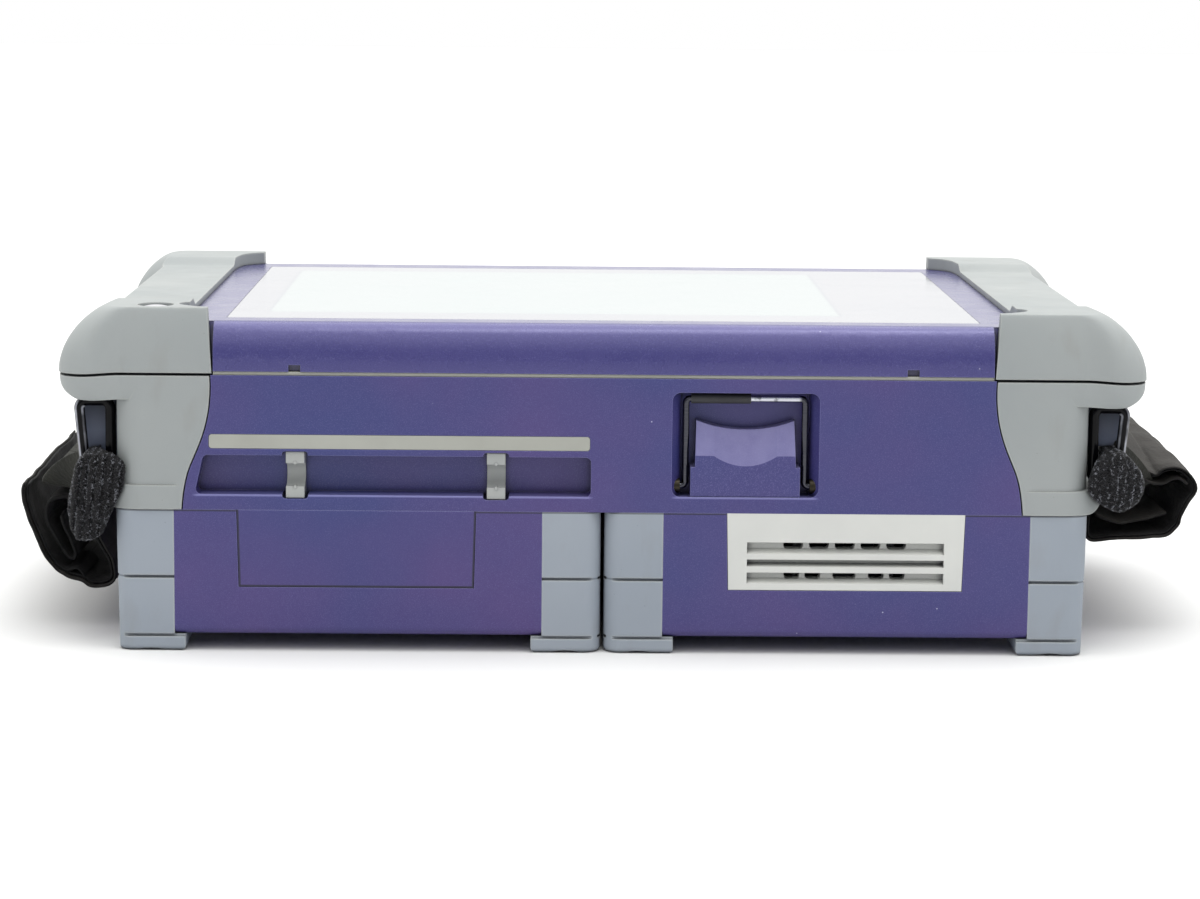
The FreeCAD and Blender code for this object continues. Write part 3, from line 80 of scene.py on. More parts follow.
HATCH_FOOT = 19.55
HATCH_SLANT = 0.026
PILE_LEAN = 0.115                  # layers drawn in the pile's look: lean over height, pitch
PILE_PITCH = 2.3


# ---- materials --------------------------------------------------------------------------
def rgb(red, green, blue):
    """Linear colour of an 8-bit display colour."""
    def channel(value):
        share = value / 255
        return share / 12.92 if share <= 0.04045 else ((share + 0.055) / 1.055) ** 2.4
    return channel(red), channel(green), channel(blue), 1.0


class Look:
    """One procedural material. Its textures run in object coordinates, in metres."""

    def __init__(self, name, **settings):
        self.material = bpy.data.materials.new(name)
        self.material.use_nodes = True
        self.nodes = self.material.node_tree.nodes
        self.links = self.material.node_tree.links
        self.shader = self.nodes["Principled BSDF"]
        for key, value in settings.items():
            self.shader.inputs[key.replace("_", " ").title().replace("Ior", "IOR")].default_value = value
        self.place = self.nodes.new("ShaderNodeTexCoord").outputs["Object"]

    def add(self, kind, inputs=(), **attributes):
        """New node. Inputs are pairs of socket and value, a value being a number or a socket."""
        node = self.nodes.new(kind)
        for key, value in attributes.items():
            setattr(node, key, value)
        for socket, value in inputs:
            if isinstance(value, bpy.types.NodeSocket):
                self.links.new(value, node.inputs[socket])
            else:
                node.inputs[socket].default_value = value
        return node

    def noise(self, scale, detail=2.0, stretch=(1, 1, 1)):
        """Noise from 0 to 1. Scale counts features in a metre."""
        spread = self.add("ShaderNodeMapping", [("Vector", self.place), ("Scale", stretch)])
        made = self.add("ShaderNodeTexNoise", [("Vector", spread.outputs[0]), ("Scale", scale),
                                               ("Detail", detail)])
        return made.outputs["Fac"]

    def cells(self, scale):
        """Distance to the nearest of scattered points."""
        made = self.add("ShaderNodeTexVoronoi", [("Vector", self.place), ("Scale", scale)])
        return made.outputs["Distance"]

    def dots(self, scale, outer, inner, patches, low, high):
        """Small dots, 1 within the inner radius and 0 beyond the outer, where a slow noise is high."""
        return self.times(self.remap(self.cells(scale), outer, inner), self.remap(patches, low, high))

    def remap(self, value, low, high, to_low=0.0, to_high=1.0):
        """Value between low and high, moved to another range and kept inside it."""
        made = self.add("ShaderNodeMapRange", [("Value", value), ("From Min", low), ("From Max", high),
                                               ("To Min", to_low), ("To Max", to_high)])
        return made.outputs[0]

    def drift(self, scale, detail, low=0.0, high=1.0, stretch=(1, 1, 1)):
        """Noise spread over the whole range from low to high."""
        return self.remap(self.noise(scale, detail, stretch), 0.3, 0.7, low, high)

    def maths(self, operation, first, second=0.0):
        made = self.add("ShaderNodeMath", [(0, first), (1, second)], operation=operation)
        return made.outputs[0]

    def times(self, first, second):
        return self.maths("MULTIPLY", first, second)

    def mix(self, share, first, second):
        made = self.add("ShaderNodeMix", [(0, share), (6, first), (7, second)], data_type="RGBA")
        return made.outputs[2]

    def axis(self, name):
        """One coordinate of the place on the surface."""
        return self.add("ShaderNodeSeparateXYZ", [(0, self.place)]).outputs[name]

    def band(self, axis, low, high, soft):
        """1 between low and high millimetres along an axis, with soft ends."""
        here = self.axis(axis)
        rise = self.remap(here, (low - soft) * MM, (low + soft) * MM)
        fall = self.remap(here, (high - soft) * MM, (high + soft) * MM, 1.0, 0.0)
        return self.times(rise, fall)

    def normal(self, name):
        """One coordinate of the surface's direction."""
        whole = self.add("ShaderNodeNewGeometry").outputs["Normal"]
        return self.add("ShaderNodeSeparateXYZ", [(0, whole)]).outputs[name]

    def facing_up(self):
        """1 on surfaces that look up, 0 on upright ones."""
        return self.remap(self.normal("Z"), 0.2, 0.95)

    def edges(self, radius):
        """1 on outer edges, found from a rounded normal: paler for wear, and on rubber and lacquer also a
        painted highlight.
        """
        soft = self.add("ShaderNodeBevel", [("Radius", radius * MM)], samples=4).outputs[0]
        true = self.add("ShaderNodeNewGeometry").outputs["Normal"]
        close = self.add("ShaderNodeVectorMath", [(0, soft), (1, true)], operation="DOT_PRODUCT")
        return self.remap(close.outputs["Value"], 0.995, 0.90)

    def corner_shade(self, colour, dark, reach, amount):
        """The colour with painted shade: darker inside corners and close joints, found by ambient occlusion.
        """
        clear = self.add("ShaderNodeAmbientOcclusion", [("Distance", reach * MM)], samples=6).outputs["AO"]
        return self.mix(self.remap(clear, 0.25, 0.80, amount, 0.0), colour, dark)

    def paint(self, colour):
        self.links.new(colour, self.shader.inputs["Base Color"])
        return self

    def line(self, mask, dark, amount=0.85):
        """Draws a mark over the colour that is already there: joint lines, painted highlights and painted
        shade.
        """
        before = self.shader.inputs["Base Color"].links[0].from_socket
        return self.paint(self.mix(self.times(mask, amount), before, dark))

    def gloss(self, value):
        self.links.new(value, self.shader.inputs["Roughness"])
        return self

    def relief(self, height, depth, strength, rounding=0.0):
        """Bump of a height texture, depth in millimetres, on edges rounded by a radius."""
        made = self.add("ShaderNodeBump", [("Height", height), ("Distance", depth * MM),
                                           ("Strength", strength)])
        if rounding:
            soft = self.add("ShaderNodeBevel", [("Radius", rounding * MM)], samples=4)
            self.links.new(soft.outputs[0], made.inputs["Normal"])
        self.links.new(made.outputs[0], self.shader.inputs["Normal"])
        return self


def rubber(name, colour, shade):
    """Matte moulded rubber: fine grain, slow colour drift, handling marks, edges paler from wear and a
    painted highlight, and painted shade in its corners."""
    look = Look(name, specular_ior_level=0.35)
    base = look.mix(look.remap(look.noise(16, 4), 0.35, 0.68), colour, shade)
    marks = look.remap(look.noise(120, 5, (1, 1, 0.4)), 0.58, 0.74)
    base = look.mix(look.times(marks, 0.16), base, rgb(118, 114, 104))
    specks = look.dots(300, 0.06, 0.03, look.noise(35, 4), 0.5, 0.6)
    base = look.mix(look.times(specks, 0.4), base, rgb(84, 82, 78))
    # Paler edges: wear, and a painted highlight on the rounded edges.
    worn_and_lit = look.mix(look.times(look.edges(0.8), 0.35), base, rgb(204, 206, 200))
    # Painted shade in corners and close joints.
    look.paint(look.corner_shade(worn_and_lit, rgb(48, 49, 50), 1.6, 0.75))
    look.gloss(look.drift(60, 3, 0.50, 0.70))
    return look.relief(look.noise(2600, 3), 0.05, 0.30, 0.7)


def lacquer(name, colour, shade, fleck, roughness, sparkle=0.10):
    """Violet lacquer with very fine flakes, a slow drift of tone, a few pale specks of dirt, edges paler
    from wear and a painted highlight, and painted shade in corners."""
    look = Look(name, metallic=0.2, coat_weight=0.2, coat_roughness=0.2)
    base = look.mix(look.remap(look.noise(16, 3), 0.32, 0.68), colour, shade)
    flakes = look.remap(look.noise(3800, 1), 0.52, 0.74)
    base = look.mix(look.times(flakes, sparkle), base, fleck)
    specks = look.dots(150, 0.035, 0.02, look.noise(25, 2), 0.55, 0.6)
    base = look.mix(look.times(specks, 0.7), base, rgb(200, 204, 222))
    # Paler edges: wear, and a painted highlight along edges and pocket lips.
    worn_and_lit = look.mix(look.times(look.edges(0.35), 0.40), base, fleck)
    # Painted shade in corners and close joints.
    look.paint(look.corner_shade(worn_and_lit, rgb(18, 16, 38), 2.3, 0.95))
    look.gloss(look.drift(140, 3, roughness - 0.04, roughness + 0.05))
    return look.relief(look.noise(1500, 2), 0.02, 0.22, 0.35)


def plastic(name, colour, shade, roughness):
    """Moulded plastic: fine spark-eroded grain, slight unevenness of tone, paler edges and painted shade
    in corners."""
    look = Look(name)
    tone = look.drift(60, 3)
    base = look.mix(look.times(look.edges(0.3), 0.2), look.mix(tone, colour, shade), rgb(170, 170, 175))
    # Painted shade in corners and close joints.
    look.paint(look.corner_shade(base, rgb(26, 26, 28), 2.2, 0.8))
    look.gloss(look.drift(90, 2, roughness - 0.05, roughness + 0.05))
    return look.relief(look.noise(1800, 2), 0.03, 0.4, 0.25)


def metal(name, colour, shade, roughness, brushed=(1, 30, 1), depth=0.02):
    """Bare or plated metal with fine draw marks along one direction."""
    look = Look(name, metallic=1.0)
    marks = look.noise(220, 3, brushed)
    look.paint(look.mix(look.remap(marks, 0.3, 0.7), colour, shade))
    look.gloss(look.drift(160, 3, roughness - 0.06, roughness + 0.08, brushed))
    return look.relief(marks, depth, 0.25, 0.2)


def cloth(name, colour, shade, tint, sheen, top_light_share=0.0):
    """Woven black nylon: crossed threads, lint, a thin sheen, and painted light where it faces up."""
    look = Look(name, roughness=0.8, specular_ior_level=0.25, sheen_weight=sheen, sheen_roughness=0.4,
                sheen_tint=tint)
    base = look.mix(look.remap(look.noise(75, 4), 0.32, 0.7), colour, shade)
    # Painted light: faces that look up are paler, broken by noise.
    if top_light_share:
        lit_tops = look.times(look.facing_up(), look.remap(look.noise(48, 4), 0.25, 0.6, 0.6, 1.0))
        base = look.mix(look.times(lit_tops, top_light_share), base, rgb(82, 79, 74))
    lint = look.dots(500, 0.08, 0.03, look.noise(90, 3), 0.55, 0.66)
    look.paint(look.mix(look.times(lint, 0.5), base, rgb(140, 138, 132)))
    lengthwise = look.noise(900, 2, (1, 0.15, 1))
    across = look.noise(900, 2, (0.3, 1.6, 0.3))
    folds = look.times(look.noise(150, 5, (1, 0.35, 1)), 2.6)
    return look.relief(look.maths("ADD", look.maths("ADD", lengthwise, across), folds), 0.42, 0.8)


def window_look():
    """Touch panel: white border print, pale display area, thin line where the two meet."""
    look = Look("touch panel", roughness=0.12, specular_ior_level=0.5, coat_weight=0.3, coat_roughness=0.05)
    half_w, half_h = DISPLAY_HALF
    area, rim = [look.times(look.band("X", DISPLAY_X - half_w - out, DISPLAY_X + half_w + out, 0.15),
                            look.band("Y", -half_h - out, half_h + out, 0.15))
                 for out in (0.0, DISPLAY_LINE)]
    cloudy = look.drift(18, 2)
    border = look.mix(cloudy, rgb(154, 155, 161), rgb(149, 151, 158))
    screen = look.mix(cloudy, rgb(163, 171, 171), rgb(159, 169, 169))
    line = look.mix(rim, border, rgb(140, 144, 152))
    look.paint(look.mix(area, line, screen))
    look.gloss(look.remap(look.noise(45, 4), 0.35, 0.7, 0.08, 0.17))
    return look.relief(look.noise(12, 2), 0.02, 0.15)


def frame_look():
    """Front frame: deep flaked lacquer with a dark joint line where the brow meets the glass."""
    look = lacquer("frame lacquer", rgb(61, 56, 114), rgb(56, 53, 111), FLECK, 0.27, 0.18)
    look.shader.inputs["Coat Weight"].default_value = 0.4
    upright = look.remap(look.facing_up(), 0.0, 0.8, 1.0, 0.0)
    joint = look.times(look.band("Z", SCREEN_Z - 0.5, SCREEN_Z + 0.2, 0.12), upright)
    return look.line(joint, rgb(30, 28, 56), 0.7)


def case_look():
    """Rear case and module cases, with the joint between them and lit lips under the pockets of
    the near face."""
    look = lacquer("case lacquer", VIOLET, VIOLET_SHADE, FLECK, 0.46, 0.14)
    near = look.band("Y", -FACE_Y - 5.0, -FACE_Y + 5.0, 0.5)
    for low, left, right, amount in POCKET_LIPS:
        lip = look.times(look.band("Z", low, low + POCKET_LIP_H, 0.15), look.band("X", left, right, 0.8))
        look.line(look.times(lip, near), rgb(150, 150, 204), amount)
    return look.line(look.band("Z", CASE_LOW - 0.55, CASE_LOW - 0.05, 0.12), rgb(26, 24, 48))


def keeper_look():
    """Bail keeper: case colour, with a painted highlight on its slope, which faces a little upward."""
    look = lacquer("keeper lacquer", VIOLET, VIOLET_SHADE, FLECK, 0.42, 0.2)
    slope = look.remap(look.normal("Z"), 0.06, 0.24)
    # Painted highlight on the slope, broken by noise.
    lit_slope = look.times(slope, look.remap(look.noise(220, 4), 0.3, 0.65, 0.8, 1.0))
    return look.line(lit_slope, rgb(128, 125, 168), 0.60)


def wire_look():
    """Bail wire: dark drawn steel, with a painted highlight along the end of its top bar beside the sleeve.
    """
    look = metal("wire steel", rgb(74, 74, 80), rgb(60, 61, 67), 0.16, (1, 1, 12), 0.002)
    # Painted highlight, broken by noise.
    lit_stretch = look.times(look.band("Z", *BARE_WIRE_Z, 0.2), look.band("X", *BARE_WIRE_X, 0.5))
    broken = look.remap(look.noise(420, 2), 0.40, 0.50, 0.35, 1.0)
    return look.line(look.times(lit_stretch, broken), rgb(204, 206, 214), 0.9)


def ring_look():
    """Strap rings: glossy black coating, slightly uneven, with a thin light along the corner of
    the outer bars."""
    look = Look("ring coating", specular_ior_level=0.12)
    base = look.mix(look.drift(90, 2), rgb(4, 4, 7), rgb(9, 9, 12))
    aside = look.maths("ABSOLUTE", look.normal("X"))
    corner = look.times(look.remap(aside, 0.35, 0.6), look.remap(aside, 0.9, 0.7))
    outer = look.remap(look.maths("ABSOLUTE", look.axis("X")), (STRAP_X - 1.5) * MM, (STRAP_X - 0.5) * MM)
    broken = look.remap(look.noise(150, 3), 0.38, 0.55, 0.25, 0.9)
    shine = look.times(look.times(corner, outer), broken)
    look.paint(look.mix(shine, base, rgb(176, 178, 188)))
    look.gloss(look.drift(160, 2, 0.10, 0.22))
    return look.relief(look.noise(300, 2), 0.003, 0.3)


def insert_look():
    """Blank insert with the joint round it."""
    look = lacquer("insert lacquer", VIOLET, VIOLET_SHADE, FLECK, 0.46)
    aside = look.maths("ABSOLUTE", look.maths("SUBTRACT", look.axis("X"), HATCH_X * MM))
    drawn_in = look.times(look.maths("SUBTRACT", CASE_LOW * MM, look.axis("Z")), HATCH_SLANT)
    sides = look.remap(look.maths("ADD", aside, drawn_in), (HATCH_HALF - 0.45) * MM, (HATCH_HALF - 0.25) * MM)
    foot = look.remap(look.axis("Z"), (HATCH_FOOT + 0.45) * MM, (HATCH_FOOT + 0.25) * MM)
    return look.line(look.maths("MAXIMUM", sides, foot), rgb(22, 20, 42), 0.9)


def guard_look():
    """Rubber guards of the modules, with painted shade in the moulded groove and a dark joint line above."""
    look = rubber("guard rubber", rgb(144, 151, 160), rgb(136, 144, 154))
    # Painted shade in the groove.
    look.line(look.band("Z", *GROOVE_Z, 0.12), rgb(84, 90, 98), 0.7)
    return look.line(look.band("Z", CASE_LOW - 0.5, CASE_LOW, 0.12), rgb(70, 74, 80), 0.8)


def web_look():
    """Rubber web behind a ring: the bumper's rubber with painted shade, darker still under the flange."""
    # Darker and bluer than the bumper rubber: painted shade.
    look = rubber("web rubber", rgb(103, 110, 129), rgb(95, 102, 121))
    shade = look.remap(look.axis("Z"), (FLANGE_LOW - 11.0) * MM, (FLANGE_LOW - 2.5) * MM)
    return look.line(shade, rgb(34, 36, 42), 0.8)


def board_look():
    """Circuit board: green mask over copper tracks."""
    look = Look("board", roughness=0.35)
    tracks = look.add("ShaderNodeTexBrick", [("Vector", look.place), ("Scale", 90.0), ("Mortar Size", 0.03)])
    base = look.mix(tracks.outputs["Fac"], rgb(28, 84, 52), rgb(44, 110, 66))
    look.paint(look.mix(look.remap(look.noise(50, 3), 0.4, 0.6), base, rgb(24, 74, 46)))
    return look.relief(tracks.outputs["Fac"], 0.04, 0.4)


def pile_look(name, colour, glint):
    """Nylon loop pile: dark fibres, some of them catching the light on the crests of the folded
    layers, which lean a little over their height."""
    look = Look(name, roughness=0.35, specular_ior_level=0.5)
    across = look.maths("SUBTRACT", look.axis("X"), look.times(look.axis("Z"), PILE_LEAN))
    across = look.maths("ADD", across, look.times(look.noise(70, 2), 1.5 * MM))
    wave = look.maths("SINE", look.times(across, math.tau / (PILE_PITCH * MM)))
    fleck = look.times(look.remap(look.noise(1100, 1), 0.50, 0.62), look.remap(wave, -0.7, 0.5, 0.12, 1.0))
    look.paint(look.mix(fleck, colour, glint))
    return look.relief(look.noise(3000, 1), 0.04, 0.4)


VIOLET = rgb(69, 52, 110)
VIOLET_SHADE = rgb(45, 50, 108)
FLECK = rgb(146, 146, 198)
LOOKS = {
    "frame_paint": frame_look(),
    "case_paint": case_look(),
    "insert": insert_look(),
    "keeper": keeper_look(),
    "clips": plastic("clip plastic", rgb(158, 160, 157), rgb(148, 151, 151), 0.42),
    "bumper_rubber": rubber("bumper rubber", rgb(147, 151, 151), rgb(139, 144, 145)),
    "guard_rubber": guard_look(),
    "web": web_look(),
    "gasket": rubber("gasket rubber", rgb(154, 154, 147), rgb(142, 142, 135)),
    "strip": plastic("strip plastic", rgb(157, 158, 151), rgb(149, 150, 143), 0.55),
    "window": window_look(),
    "display": plastic("display rim", rgb(60, 62, 66), rgb(80, 82, 86), 0.4),
    "button": metal("button satin", rgb(206, 206, 210), rgb(190, 191, 197), 0.32),
    "steel": wire_look(),
    "zinc": metal("zinc plate", rgb(178, 182, 186), rgb(156, 160, 168), 0.38),
    "brass": metal("oiled bronze", rgb(58, 53, 45), rgb(46, 43, 37), 0.42),
    "sheet": metal("plated sheet", rgb(182, 184, 188), rgb(166, 168, 174), 0.40),
    "connector_metal": metal("connector shell", rgb(192, 194, 198), rgb(170, 172, 178), 0.30),
    "gold": metal("contact gold", rgb(224, 186, 96), rgb(206, 166, 80), 0.25),
    "black_rubber": plastic("black rubber", rgb(36, 36, 39), rgb(48, 48, 51), 0.62),
    "black_plastic": plastic("black plastic", rgb(30, 30, 33), rgb(42, 42, 45), 0.52),
    "ring": ring_look(),
    "grille": plastic("grille lacquer", rgb(199, 200, 196), rgb(192, 193, 190), 0.38),
    "battery": plastic("shrink film", rgb(40, 46, 58), rgb(54, 60, 72), 0.35),
    "board": board_look(),
    # The sleeve's last number paints light on its upward faces.
    "sleeve": cloth("nylon sleeve", rgb(22, 21, 22), rgb(33, 31, 31), (0.8, 0.76, 0.7, 1.0), 0.05, 0.24),
    # A darker copy of the sleeve cloth: painted shade on the inner sheets and the left sleeve's flap and
    # curl.
    "lining": cloth("shaded sleeve cloth", rgb(15, 15, 16), rgb(25, 24, 25), (0.7, 0.7, 0.7, 1.0), 0.03),
    "webbing": cloth("flat webbing", rgb(29, 30, 27), rgb(40, 40, 36), (0.8, 0.82, 0.76, 1.0), 0.05),
    "thread": plastic("sewing thread", rgb(74, 72, 68), rgb(92, 90, 85), 0.6),
    "pile": pile_look("loop pile", rgb(12, 12, 15), rgb(142, 144, 152)),
    "pile_base": cloth("pile backing", rgb(12, 12, 14), rgb(26, 26, 29), (0.8, 0.8, 0.85, 1.0), 0.02),
}


def dress_frame():
    """Gives every CAD node the look of its material slot."""
    slots = {part["node"]: part["material_slot"] for part in frame["record"]["subparts"]}
    for name, obj in frame["nodes"].items():
        for holder in obj.material_slots:
            holder.material = LOOKS[slots[name]].material


# ---- mesh helpers -------------------------------------------------------------------------
def mesh_piece(name, vertices, faces, look, smooth=True):
    """New object from millimetre vertices."""
    mesh = bpy.data.meshes.new(name)
    mesh.from_pydata([tuple(c * MM for c in v) for v in vertices], [], faces)
    mesh.validate()
    bm = bmesh.new()
    bm.from_mesh(mesh)
    bmesh.ops.recalc_face_normals(bm, faces=bm.faces)
    bm.to_mesh(mesh)
    bm.free()
    for face in mesh.polygons:
        face.use_smooth = smooth
    obj = bpy.data.objects.new(name, mesh)
    bpy.context.scene.collection.objects.link(obj)
    mesh.materials.append(LOOKS[look].material)
    return obj


def settle(obj):
    """Applies all modifiers of a piece."""
    bpy.context.view_layer.update()
    ready = obj.evaluated_get(bpy.context.evaluated_depsgraph_get())
    obj.data = bpy.data.meshes.new_from_object(ready)
    obj.modifiers.clear()
    return obj


def thickened(obj, thickness):
    """Turns a surface into cloth of a real thickness, with a rounded edge."""
    solid = obj.modifiers.new("thickness", "SOLIDIFY")
    solid.thickness = thickness * MM
    solid.offset = 0.0
    solid.use_even_offset = False
    soft = obj.modifiers.new("soft", "SUBSURF")
    soft.levels = soft.render_levels = 1
    return settle(obj)


def through(points, spacing, closed=False):
    """Evenly spaced points on a smooth curve through all the given points."""
    count = len(points)
    at = (lambda i: points[i % count]) if closed else (lambda i: points[min(max(i, 0), count - 1)])
    fine = []
    for i in range(count if closed else count - 1):
        before, start, end, after = at(i - 1), at(i), at(i + 1), at(i + 2)
        for step in range(12):
            t = step / 12
            fine.append(tuple(0.5 * (2 * b + (c - a) * t + (2 * a - 5 * b + 4 * c - d) * t * t
                                     + (3 * b - a - 3 * c + d) * t ** 3)
                              for a, b, c, d in zip(before, start, end, after)))
    fine.append(fine[0] if closed else tuple(points[-1]))
    lengths = [0.0]
    for a, b in zip(fine, fine[1:]):
        lengths.append(lengths[-1] + math.dist(a, b))
    number = max(3, round(lengths[-1] / spacing))
    made, k = [], 0
    for i in range(number if closed else number + 1):
        target = lengths[-1] * i / number
        while k < len(lengths) - 2 and lengths[k + 1] < target:
            k += 1
        share = (target - lengths[k]) / max(lengths[k + 1] - lengths[k], 1e-9)
        made.append(tuple(a + (b - a) * share for a, b in zip(fine[k], fine[k + 1])))
    return made


def grid_faces(rows, columns, closed=False):
    """Quads between rows of points; closed joins the last column to the first."""
    wrap = columns if closed else columns - 1
    return [(r * columns + c, r * columns + (c + 1) % columns,
             (r + 1) * columns + (c + 1) % columns, (r + 1) * columns + c)
            for r in range(rows - 1) for c in range(wrap)]


def swell(place, seed):
    """Smooth random value from -1 to 1."""
    return noise.noise(Vector(place) + Vector((seed * 7.3, seed * 3.1, seed)))


# ---- fabric ---------------------------------------------------------------------------------
SHEET_STEP = 1.2                   # distance of a sheet's points, across and along
SHEET_ROW = 1.6
FRAY = 1.2                         # how far an end waves in and out
SEAM_DEPTH = 0.45                  # how deep a sewn line is drawn in


def draped(name, near, far, span, thickness, look, seed, wrinkle, shift, seam):
    """Sheet whose cross section goes from one outline at its near end to another at its far
    end, with soft folds, sharper creases and frayed ends. Shift moves it along its normal and
    seam presses a line into it. Gives the piece, its width, its length and that line."""
    y0, y1 = span
    rows = round((y1 - y0) / SHEET_ROW) + 1
    start = through(near, SHEET_STEP)
    count = len(start)
    end = start
    if far:
        smooth = through(far, SHEET_STEP)
        end = through(far, sum(math.dist(a, b) for a, b in zip(smooth, smooth[1:])) / (count - 1))
    end = (end + [end[-1]] * count)[:count]
    vertices, widths, seam_line = [], [], []
    for r in range(rows):
        t = r / (rows - 1)
        y = y0 + (y1 - y0) * t
        ease = min(1.0, t * 2.2)
        line = [tuple(a + (b - a) * ease for a, b in zip(p, q)) for p, q in zip(start, end)]
        edge = max(0.0, 1 - min(t, 1 - t) * rows / 6)
        row = []
        for i, (x, z) in enumerate(line):
            before, after = line[max(i - 1, 0)], line[min(i + 1, count - 1)]
            run = Vector((after[0] - before[0], after[1] - before[1])).normalized()
            s = i * SHEET_STEP
            inside = 1 - 0.65 * edge
            crease = 0.5 - 2.2 * abs(swell((s / 9, y / 24, 8), seed))
            folds = swell((s / 13, y / 34, 0), seed) + 0.45 * swell((s / 5, y / 12, 4), seed)
            push = wrinkle * inside * (folds + 0.6 * crease) + shift
            if seam:
                push -= SEAM_DEPTH * math.exp(-((s - seam) / 0.9) ** 2)
            frayed = edge * (FRAY * swell((s / 8, 0, t * 9), seed + 3)
                             + 0.8 * swell((s / 1.7, 3, t * 9), seed + 5))
            row.append((x - run.y * push, y + frayed, z + run.x * push))
            if seam and i == round(seam / SHEET_STEP):
                lift = push + thickness / 2 + 0.05
                seam_line.append((x - run.y * lift, y, z + run.x * lift))
        widths.append(sum(math.dist((a[0], a[2]), (b[0], b[2])) for a, b in zip(row, row[1:])))
        vertices += row
    obj = mesh_piece(name, vertices, grid_faces(rows, count), look)
    thickened(obj, thickness)
    return obj, sum(widths) / rows, y1 - y0, seam_line


STITCH_PITCH = 2.4
THREAD_R = 0.17


def stitched(name, path):
    """Row of small stitches along a path of millimetre points."""
    points = through(path, STITCH_PITCH)
    vertices, faces = [], []
    for a, b in zip(points, points[1:]):
        start, end = Vector(a), Vector(b)
        middle = (start + end) / 2
        run = (end - start).normalized()
        half = (end - start).length * 0.32
        side = run.cross(Vector((0, 0, 1))).normalized()
        up = side.cross(run)
        base = len(vertices)
        for along, shrink in ((-1, 0.4), (-0.6, 1), (0.6, 1), (1, 0.4)):
            for k in range(6):
                turn = math.tau * k / 6
                vertices.append(middle + run * half * along + (side * math.cos(turn) + up * math.sin(turn))
                                * THREAD_R * shrink)
        for k in range(6):
            for row in range(3):
                faces.append((base + row * 6 + k, base + row * 6 + (k + 1) % 6,
                              base + (row + 1) * 6 + (k + 1) % 6, base + (row + 1) * 6 + k))
        faces.append(tuple(base + k for k in range(5, -1, -1)))
        faces.append(tuple(base + 18 + k for k in range(6)))
    return mesh_piece(name, vertices, faces, "thread")


# Cross sections of the sleeves' sheets as X and Z. A wrap has one for each end of the handle.
LEFT_WRAP = [(-154.6, 33.6), (-152.9, 27.6), (-151.0, 23.8), (-149.1, 21.0), (-148.2, 17.4), (-148.3, 14.4),
             (-150.6, 13.1), (-155.0, 13.0), (-157.2, 14.3), (-161.2, 15.5), (-164.4, 17.2), (-167.4, 21.0),
             (-169.9, 26.0), (-172.7, 32.2), (-174.5, 37.6), (-174.9, 41.6), (-174.2, 44.1)]
LEFT_WRAP_FAR = [(-154.0, 33.6), (-152.6, 28.0), (-151.0, 24.0), (-149.4, 20.6), (-148.6, 17.0),
                 (-149.2, 14.6), (-151.4, 13.4), (-155.0, 13.2), (-158.2, 14.0), (-161.8, 15.6),
                 (-165.0, 18.0), (-168.2, 22.2), (-171.0, 27.2), (-173.6, 32.8), (-175.6, 37.6),
                 (-176.2, 41.0), (-175.9, 43.0)]
LEFT_FLAP = [(-158.5, 40.0), (-163.4, 39.6), (-167.4, 38.3), (-168.6, 35.4), (-168.0, 31.4), (-165.8, 27.2),
             (-163.0, 22.0), (-160.9, 20.2), (-159.8, 21.6), (-161.0, 25.6), (-163.2, 30.4), (-164.0, 34.0)]
LEFT_CURL = [(-166.4, 19.6), (-164.2, 18.0), (-161.8, 17.4), (-159.4, 18.2), (-157.6, 16.4), (-156.8, 15.0)]
RIGHT_WRAP = [(150.2, 56.4), (154.0, 54.4), (159.0, 52.0), (163.7, 50.0), (166.0, 49.6), (168.7, 48.9),
              (170.9, 50.4), (174.3, 51.2), (177.0, 50.4), (179.2, 48.6), (180.9, 45.8), (180.6, 43.6),
              (178.6, 41.2), (177.0, 38.6), (176.0, 35.6), (175.9, 34.2), (173.2, 31.3), (171.1, 30.3),
              (166.7, 30.1), (161.4, 29.8), (155.3, 29.7), (149.4, 29.0), (148.3, 31.0), (148.2, 36.0)]
RIGHT_WRAP_FAR = [(150.4, 60.2), (154.6, 59.0), (160.0, 57.5), (164.0, 56.3), (166.5, 55.6), (169.0, 54.9),
                  (171.5, 54.2), (174.6, 53.3), (177.2, 52.3), (179.4, 50.8), (180.3, 48.4), (179.8, 45.8),
                  (178.2, 42.4), (176.6, 39.4), (175.2, 36.2), (174.2, 34.0), (172.2, 31.8), (170.4, 30.8),
                  (166.4, 30.3), (161.2, 30.0), (155.2, 29.9), (149.6, 29.2), (148.4, 31.0), (148.3, 36.0)]
RIGHT_HEM = [(160.8, 50.2), (164.1, 48.4), (166.8, 46.9), (171.0, 46.4), (173.7, 48.0), (175.9, 48.2),
             (178.6, 46.4)]
RIGHT_FLAP = [(151.4, 36.2), (155.9, 34.6), (159.7, 34.0), (166.5, 35.2), (173.0, 37.2)]

